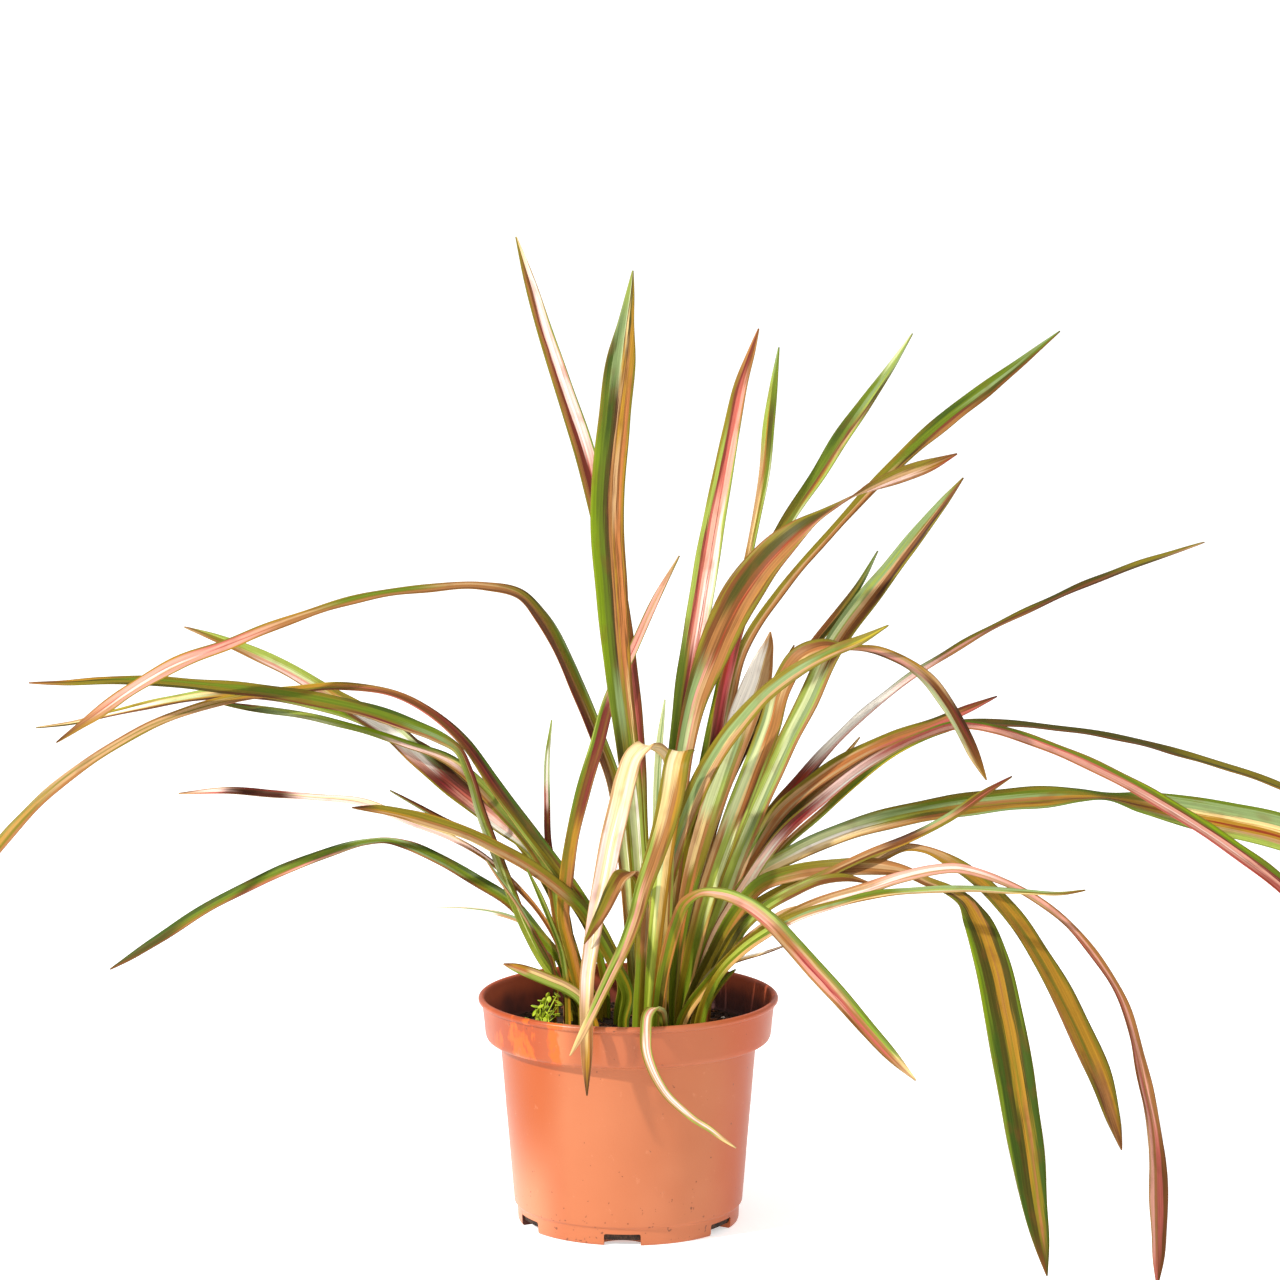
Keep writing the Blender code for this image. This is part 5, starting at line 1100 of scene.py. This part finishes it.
def pot_outline():
    """The pot's outline, from the top of the rim down its outer side, across the base and up the inside."""
    top = POT_HEIGHT
    bead_turn = np.radians(np.arange(15, 166, 15))
    body_top, body_foot = LEDGE - SHOULDER_DROP, FOOT_HEIGHT + 1.2
    rim = near(COLLAR_RADIUS, top, (0.4, 0))
    rim += [(RIM_RADIUS - RIM_BEAD + RIM_BEAD * math.sin(a), top - RIM_BEAD + RIM_BEAD * math.cos(a))
            for a in bead_turn]
    collar = near(COLLAR_RADIUS, top - 2 * RIM_BEAD, (0.15, -0.1), (0, -0.6))
    collar += near(COLLAR_RADIUS, top, (-0.3, -8)) + near(COLLAR_FOOT_RADIUS, LEDGE, (0.7, 12), (0.1, 5))
    collar += near(COLLAR_FOOT_RADIUS, LEDGE, (-0.3, 3), (-1.0, 1.5), (-2.2, 0.6), (-4.0, 0.1))
    body = near(SHOULDER_RADIUS, LEDGE, (3, 0), (1.4, -0.3), (0.4, -1.1), (0, -SHOULDER_DROP))
    body += [(SHOULDER_RADIUS + (HEEL_RADIUS - SHOULDER_RADIUS) * s, body_top + (body_foot - body_top) * s)
             for s in np.linspace(0.05, 1, 20)]
    foot = near(HEEL_RADIUS, FOOT_HEIGHT, (-0.15, 0.4), (-0.6, -0.1))
    foot += near(FOOT_RADIUS, FOOT_HEIGHT, (0.9, -0.5), (0.2, -1.2), (0, -2.2))
    foot += near(FOOT_RADIUS, 0, (-0.1, FOOT_HEIGHT / 2), (-0.3, 1.6), (-0.7, 0.5), (-1.6, 0))
    foot += near(FOOT_RADIUS, 0, (-FOOT_RING, 0))
    base = [(FOOT_RADIUS - FOOT_RING - 1, BASE_RECESS), (CENTRE_BOSS + 1, BASE_RECESS)]
    base += [(CENTRE_BOSS, 0), (0, 0)]
    inside = [(0, FLOOR)] + near(FOOT_RADIUS - WALL, FLOOR, (-1.2, 0), (0, 1))
    inside += near(HEEL_RADIUS - WALL, FOOT_HEIGHT, (0, 1.6))
    inside += near(SHOULDER_RADIUS - WALL, LEDGE, (0, -1.2), (1.4, 1))
    inside += near(COLLAR_FOOT_RADIUS - WALL, LEDGE, (-1.6, 2.6), (0, 4.6))
    inside += near(COLLAR_RADIUS - WALL, top, (0, -3), (0.2, -1.2), (0.9, -0.3))
    return rim + collar + body + foot + base + inside + rim[:1]

# %% The pot with its notches
def drain_cutter():
    """One mesh with a box for each drainage notch, the edges that run outward rounded."""
    bm = bmesh.new()
    for index in range(DRAIN_COUNT):
        turn = DRAIN_TURN + index * math.tau / DRAIN_COUNT
        middle = FOOT_RADIUS + 4 - DRAIN_REACH / 2
        place = Matrix.Translation((middle * MM, 0, (DRAIN_HEIGHT / 2 - 2) * MM))
        place = Matrix.Rotation(turn, 4, "Z") @ place
        size = Matrix.Diagonal((DRAIN_REACH * MM, DRAIN_WIDTH * MM, (DRAIN_HEIGHT + 4) * MM, 1))
        box = bmesh.ops.create_cube(bm, size=1, matrix=place @ size)["verts"]
        outward = Vector((math.cos(turn), math.sin(turn), 0))
        edges = [edge for edge in dict.fromkeys(e for vert in box for e in vert.link_edges)
                 if abs((edge.verts[0].co - edge.verts[1].co).normalized() @ outward) > 0.9]
        bmesh.ops.bevel(bm, geom=edges, offset=DRAIN_CORNER, segments=3, profile=0.5, affect="EDGES",
                        material=-1)
    return as_mesh(bm, "drains", smooth=False)


def make_pot(finish, inside):
    """The pot with its notches cut, with painted shade on the inner wall."""
    blank = in_scene("pot_blank", spun("pot_blank", pot_outline(), POT_STEPS))
    cutter = in_scene("drain_cutter", drain_cutter())
    set_all(blank.modifiers.new("drains", "BOOLEAN"), object=cutter, operation="DIFFERENCE", solver="EXACT")
    mesh = bpy.data.meshes.new_from_object(blank.evaluated_get(bpy.context.evaluated_depsgraph_get()))
    for obj in (blank, cutter):
        bpy.data.objects.remove(obj)
    mesh.name = "nursery_pot"
    obj = keep("nursery_pot", mesh, ["pot"], finish)
    mesh.materials.append(inside)
    for face in mesh.polygons:
        face.use_smooth = True
        facing = face.normal.x * face.center.x + face.normal.y * face.center.y
        on_wall = face.center.xy.length > (FOOT_RADIUS - FOOT_RING - 2) * MM and face.center.z > FLOOR * MM
        if facing < 0 and on_wall:
            face.material_index = 1
    set_all(obj.modifiers.new("moulded corners", "BEVEL"), width=MOULDED_CORNER, segments=2,
            limit_method="ANGLE", angle_limit=math.radians(50), harden_normals=True)
    print("pot of", len(mesh.polygons), "faces, with", DRAIN_COUNT, "notches")


# %% [markdown]
# The plastic is a warm terracotta orange. Water has left orange drips round paler blotches on one part of the
# collar, and the body has faint scuffs and specks of dried peat, mostly low down. Light and shade are painted
# on as well: the collar is painted darker than the body and both sides a deeper orange as painted shade, the
# left side is painted paler low down and a deeper orange above, and the inner wall is painted dark as painted
# shade. All of this reads Object coordinates, which are the same as the model's own, so heights can be used
# directly.

# %% The pot's plastic
def pot_finish():
    """Warm terracotta, weathered in coats from the outside in."""
    f = Finish("terracotta plastic", 0.36, 0.3)
    place = f.own_place()
    side, _, height = f.add("SeparateXYZ", {0: place})
    broad = f.cloudy(place, 14, 3, 0.55)
    f.colour = f.mix(broad, linear(174, 103, 66), linear(164, 91, 54))
    # Painted shade: the collar is painted darker than the body.
    f.coat(f.rising(height, 0.1165, 0.118), linear(158, 80, 48), 0.45)  # the collar, above the ledge
    # Painted shade: both sides are painted deeper in colour than the front, each in its own orange.
    round_side = f.maths("ABSOLUTE", f.maths("SUBTRACT", side, 0.006))
    edge = f.mix(f.rising(side, -0.02, 0.02), linear(152, 60, 16), linear(170, 72, 26))
    f.coat(f.rising(f.scaled(broad, 0.02, round_side), 0.05, 0.082), edge, 0.88)
    # Painted light and shade: the left side is painted paler low down and a deeper orange above.
    left = f.rising(side, -0.036, -0.062)
    f.coat(f.times(left, f.rising(height, 0.1, 0.015)), linear(200, 132, 96), 0.75)
    middle = f.times(f.rising(height, 0.02, 0.09), f.rising(height, 0.125, 0.112))
    f.coat(f.times(left, middle), linear(160, 72, 8), 0.8)
    # Blotches and the rings of orange round them, on the left part of the collar.
    drips = f.cloudy(place, 34, 4, 0.6, (1, 1, 0.5))
    part = f.times(f.rising(side, -0.03, -0.046), f.rising(side, -0.09, -0.076))
    splashed = f.times(f.rising(height, 0.112, 0.12), part)
    inner, outer = f.rising(drips, 0.41, 0.45), f.rising(drips, 0.5, 0.54)
    f.coat(f.times(outer, splashed), linear(206, 128, 82), 0.5)
    f.coat(f.times(f.maths("SUBTRACT", inner, outer), splashed), linear(206, 90, 18), 0.85)
    film = f.cloudy(place, 9, 3, 0.5)
    f.coat(f.rising(film, 0.55, 0.75), linear(190, 120, 84), 0.3)
    scuffs = f.cloudy(place, 150, 4, 0.65)
    f.coat(f.rising(scuffs, 0.64, 0.72), linear(200, 134, 98), 0.22)
    # Specks of peat, thicker near the ground.
    specks, low = f.cloudy(place, 300, 2, 0.5), f.maths("SUBTRACT", 1.0, f.rising(height, 0.0, 0.05))
    f.coat(f.rising(f.scaled(low, 0.07, specks), 0.73, 0.76), linear(96, 52, 34), 0.75)
    grain = f.cloudy(place, 900, 2, 0.5)
    return f.complete(f.maths("ADD", f.times(grain, 0.5), film), 0.00008, f.scaled(film, 0.2, 0.26))


def shaded_inside():
    """The inner wall in painted shade: dark, lighter near the rim and darkest at the compost."""
    f = Finish("inner plastic in painted shade", 0.6, 0.2)
    place = f.own_place()
    height = f.add("SeparateXYZ", {0: place})[2]
    clouds = f.cloudy(place, 26, 4, 0.6, (1, 1, 0.5))
    f.colour = f.mix(f.rising(clouds, 0.35, 0.7), linear(96, 44, 34), linear(128, 58, 40))
    f.coat(f.rising(f.scaled(clouds, 0.012, height), 0.134, 0.1465), linear(176, 84, 52))
    f.coat(f.rising(f.scaled(clouds, 0.02, height), 0.14, 0.128), linear(50, 26, 24), 0.7)
    return f.complete(clouds, 0.0001, f.scaled(clouds, 0.25, 0.5))


# The inner wall's finish is painted shade.
make_pot(pot_finish(), shaded_inside())

# %% [markdown]
# ## The compost
# The pot is filled with peat-based compost to about 25 mm under its rim: a rough dark crumb with bark, fibres
# and a few white grains of perlite. The filling is one spun solid whose top is roughened by moving its
# vertices, and the crumbs are about eleven hundred small icospheres and chips, squashed and turned at random.

# %% The compost
COMPOST_STEPS = 150
COMPOST_EDGE = COLLAR_FOOT_RADIUS - WALL - CLEARANCE
COMPOST_LUMPS = ((60, 1.0, 2.2), (420, 0.8, 1.3))
LOWERED_BY = 0.6
SMOOTH_RING = 0.006
DENTS = 0.35
SCATTER_RADIUS = 84
CRUMBS = 900
CHIPS = 170
GRAINS = 46


def make_compost(finish):
    """The filling, with a rough top that stays under the packed soil's height."""
    top = [(r, SOIL_LEVEL) for r in np.linspace(0, COMPOST_EDGE - 1.6, 46)]
    outline = top + [
        (COMPOST_EDGE - 2.4, LEDGE + 2.9),
        (SHOULDER_RADIUS - WALL + 1.4, LEDGE + 1.4),
        (SHOULDER_RADIUS - WALL - CLEARANCE, LEDGE - 1),
        (HEEL_RADIUS - WALL - CLEARANCE, FOOT_HEIGHT + 1.6),
        (FOOT_RADIUS - WALL - CLEARANCE, FLOOR + 1.2),
        (FOOT_RADIUS - WALL - 1.6, FLOOR + CLEARANCE),
        (0, FLOOR + CLEARANCE),
    ]
    mesh = spun("compost", outline, COMPOST_STEPS)
    for vert in mesh.vertices:
        if vert.co.z > (SOIL_LEVEL - 0.01) * MM and vert.co.xy.length < (COMPOST_EDGE - 1.8) * MM:
            lump = sum(noise.fractal(vert.co * scale, fade, 2.0, 3) * rise
                       for scale, fade, rise in COMPOST_LUMPS)
            inwards = COMPOST_EDGE * MM - vert.co.xy.length
            vert.co.z += (lump - LOWERED_BY) * MM * min(1, inwards / SMOOTH_RING)
    keep("compost", mesh, ["soil"], finish)


def scatter(name, count, shape, seed, finish, sizes, squash, lift):
    """Many small bits on the compost in one mesh. shape makes one bit in a bmesh and returns its vertices."""
    chance = np.random.default_rng(seed)
    bm = bmesh.new()
    for _ in range(count):
        away = SCATTER_RADIUS * math.sqrt(chance.uniform(0.0, 1.0))
        turn = chance.uniform(0, math.tau)
        size = chance.uniform(*sizes)
        place = Vector((away * math.cos(turn), away * math.sin(turn), SOIL_LEVEL + lift * size)) * MM
        spin = Matrix.Rotation(chance.uniform(0, math.tau), 4, "Z")
        spin = spin @ Matrix.Rotation(chance.normal(0, 0.35), 4, "X")
        stretch = Matrix.Diagonal((size * MM, size * squash[0] * MM, size * squash[1] * MM, 1))
        bits = shape(bm)
        for vert in bits:
            vert.co = vert.co * (1 + DENTS * noise.noise(vert.co * 3 + Vector((turn * 9, away, size))))
        bmesh.ops.transform(bm, matrix=Matrix.Translation(place) @ spin @ stretch, verts=bits)
    keep(name, as_mesh(bm, name, smooth=False), [], finish)


def crumb(bm):
    return bmesh.ops.create_icosphere(bm, subdivisions=1, radius=1)["verts"]


def chip(bm):
    return bmesh.ops.create_cube(bm, size=1.6)["verts"]


def speckled(name, dark, pale, scale, roughness=0.9, depth=0.0004):
    """A dull grainy finish between two colours."""
    f = Finish(name, roughness, 0.25)
    place = f.own_place()
    grain, coarse = f.cloudy(place, scale, 5, 0.65), f.cloudy(place, scale / 6, 3, 0.5)
    both = f.scaled(grain, 0.6, f.times(coarse, 0.4))
    f.colour = f.mix(f.rising(both, 0.4, 0.66), linear(*dark), linear(*pale))
    return f.complete(grain, depth)


make_compost(speckled("peat", (34, 24, 20), (78, 56, 42), 700))
scatter("compost_crumbs", CRUMBS, crumb, 3, speckled("peat crumb", (38, 27, 22), (92, 66, 48), 900),
        (0.7, 2.4), (0.8, 0.6), 0.1)
scatter("compost_bark_chips", CHIPS, chip, 5, speckled("bark chip", (70, 42, 26), (140, 88, 54), 600),
        (1.2, 4.0), (0.35, 0.18), 0.25)
scatter("compost_perlite", GRAINS, crumb, 7, speckled("perlite", (205, 200, 190), (242, 238, 230), 900),
        (0.8, 1.9), (0.9, 0.8), 0.4)
print("compost with", CRUMBS, "crumbs,", CHIPS, "chips and", GRAINS, "grains of perlite")

# %% [markdown]
# ## Two weeds and a twig
# Small weeds seed themselves in every nursery pot. Each is a few thin stems that carry round leaflets, so a
# stem is a narrow cone and a leaflet a flattened, dished sphere. The twig is a bent, tapered rod with rough
# bark.

# %% The weeds
STEM_RADII = (0.45, 0.22)
STEM_TURN = 2.4
LEAFLET_SIZES = (1.4, 2.3)
LEAFLET_DISH = 0.5
FULLY_GROWN = 1.9


def laid_between(start, end):
    """The matrix that lays a rod, made upright at the origin, from one point to another."""
    return Matrix.Translation((start + end) / 2) @ (end - start).to_track_quat("Z", "Y").to_matrix().to_4x4()


def make_weed(name, node, place, height, reach, lean, leaflets, seed, finish):
    """A tuft of thin stems, each with a leaflet on its end."""
    chance = np.random.default_rng(seed)
    x, y = place
    foot = Vector((x, y, SOIL_LEVEL - 1))
    bm = bmesh.new()
    for index in range(leaflets):
        turn = index * STEM_TURN + chance.uniform(-0.3, 0.3)
        out = reach * (0.3 + 1.1 * math.sqrt((index + 0.5) / leaflets))
        up = height * (0.95 - 0.7 * index / leaflets)
        bend = Vector((*lean, 0)) * (up / height)
        tip = Vector((x + out * math.cos(turn), y + out * math.sin(turn), SOIL_LEVEL + up)) + bend
        stem = bmesh.ops.create_cone(bm, cap_ends=True, segments=6, radius1=STEM_RADII[0],
                                     radius2=STEM_RADII[1], depth=(tip - foot).length)["verts"]
        bmesh.ops.transform(bm, matrix=laid_between(foot, tip), verts=stem)
        size = chance.uniform(*LEAFLET_SIZES)
        disc = bmesh.ops.create_uvsphere(bm, u_segments=10, v_segments=6, radius=1)["verts"]
        for vert in disc:
            vert.co.z += LEAFLET_DISH * (vert.co.x ** 2 + vert.co.y ** 2)
            vert.co.x += 0.25 * vert.co.x * abs(vert.co.x)
        droop = Matrix.Rotation(chance.uniform(-0.4, 1.2), 4, "Y")
        flat = Matrix.Diagonal((size * 1.15, size, size * 0.3, 1))
        lie = Matrix.Translation(tip) @ Matrix.Rotation(turn, 4, "Z") @ droop @ flat
        bmesh.ops.transform(bm, matrix=lie, verts=disc)
    bmesh.ops.scale(bm, vec=(MM, MM, MM), verts=bm.verts)
    bmesh.ops.recalc_face_normals(bm, faces=bm.faces)
    keep(name, as_mesh(bm, name), [node], finish)


weed_green = speckled("weed leaf", (150, 176, 24), (214, 220, 70), 260, 0.45, 0.0001)
make_weed("weed_tall", "seedling_tall", (-57, 10), 13 * FULLY_GROWN, 7, (9, -6), 18, 11, weed_green)
make_weed("weed_short", "seedling_short", (-49, -14), 8 * FULLY_GROWN, 6, (-5, 0), 11, 13, weed_green)

# %% The twig
TWIG_RADIUS = 1.3
TWIG_BEND = 0.5
TWIG_HEIGHT = SOIL_LEVEL + TWIG_RADIUS + 0.9
TWIG_START = Vector((-58, -18, TWIG_HEIGHT))
TWIG_END = Vector((-50, 2, TWIG_HEIGHT))


def make_twig(finish):
    """A bent tapered rod with knots, lying on the compost."""
    bm = bmesh.new()
    bmesh.ops.create_cone(bm, cap_ends=True, segments=14, radius1=1, radius2=0.7, depth=2)
    walls = [edge for edge in bm.edges if abs(edge.verts[0].co.z - edge.verts[1].co.z) > 1]
    bmesh.ops.subdivide_edges(bm, edges=walls, cuts=22, use_grid_fill=True)
    for vert in bm.verts:
        rough = 1 + 0.14 * noise.noise(Vector((vert.co.x * 2, vert.co.y * 2, vert.co.z * 5)))
        knot = 1 + 0.3 * math.exp(-((vert.co.z - 0.35) / 0.08) ** 2)
        vert.co.x *= rough * knot * TWIG_RADIUS * 0.9
        vert.co.y *= rough * knot * TWIG_RADIUS * 0.9
        vert.co.y += TWIG_BEND * math.cos(vert.co.z * 1.5)
        vert.co.z *= (TWIG_END - TWIG_START).length / 2
    aim = Matrix.Diagonal((MM, MM, MM, 1)) @ laid_between(TWIG_START, TWIG_END)
    bmesh.ops.transform(bm, matrix=aim, verts=bm.verts)
    keep("bark_twig", as_mesh(bm, "bark_twig"), ["twig"], finish)


make_twig(speckled("bark", (120, 62, 28), (196, 122, 66), 500))
print("two weeds and a twig made")

# %% [markdown]
# ## Floor, light and camera
# The photograph is a cut-out lit by sun from the front left with a bright sky all round, so the studio here
# is a pale floor under an even sky, one warm light on the left and a weaker, broader one in front. The camera
# stands three metres away, as high as the rim's ellipse puts it, and looks down at the plant by eight
# degrees.

# %% Floor, light and camera
FLOOR_GLOW = 0.45
SKY_STRENGTH = 0.77
LIGHTS_AIM = Vector((0, 0, 0.25))
CAMERA_PLACE = (0.00741, -3.0, 0.81723)
CAMERA_LOOKS_DOWN = 8.448
LENS_LENGTH = 136.16


def make_floor():
    """A wide pale floor that glows a little, so that it comes out as white as the photograph's background."""
    bm = bmesh.new()
    bmesh.ops.create_grid(bm, x_segments=1, y_segments=1, size=150)
    mesh = as_mesh(bm, "floor", smooth=False)
    f = Finish("pale floor", 0.9, 0.1)
    f.colour = f.mix(f.cloudy(f.own_place(), 3), (0.95, 0.95, 0.95, 1), (0.93, 0.93, 0.93, 1))
    f.fill(f.shader, {"Emission Color": (1, 1, 1, 1), "Emission Strength": FLOOR_GLOW})
    mesh.materials.append(f.complete())
    in_scene("floor", mesh)


def soft_light(name, azimuth, elevation, away, size, power, colour):
    """A square light that faces the plant. Azimuth 0 is in front and 90 to the right."""
    a, e = math.radians(azimuth), math.radians(elevation)
    towards = Vector((math.sin(a) * math.cos(e), -math.cos(a) * math.cos(e), math.sin(e)))
    data = bpy.data.lights.new(name, "AREA")
    set_all(data, size=size, energy=power, color=colour)
    in_scene(name, data, location=LIGHTS_AIM + towards * away,
             rotation_euler=towards.to_track_quat("Z", "Y").to_euler())


make_floor()
soft_light("sun", -56, 34, 4.0, 0.14, 202, (1.0, 0.975, 0.935))
soft_light("front", 15, 15, 3.2, 2.6, 34, (1.0, 0.98, 0.94))
world = bpy.data.worlds.new("even sky")
world.use_nodes = True
world.node_tree.nodes["Background"].inputs["Color"].default_value = (1.0, 1.0, 1.0, 1)
world.node_tree.nodes["Background"].inputs["Strength"].default_value = SKY_STRENGTH
bpy.context.scene.world = world
bpy.context.scene.view_settings.view_transform = "Standard"

lens = bpy.data.cameras.new("camera")
set_all(lens, lens=LENS_LENGTH, sensor_width=36, clip_end=500)
bpy.context.scene.camera = in_scene("camera", lens, location=CAMERA_PLACE,
                                    rotation_euler=(math.radians(90 - CAMERA_LOOKS_DOWN), 0, 0))
print("floor, two lights and a camera", -CAMERA_PLACE[1], "m away")
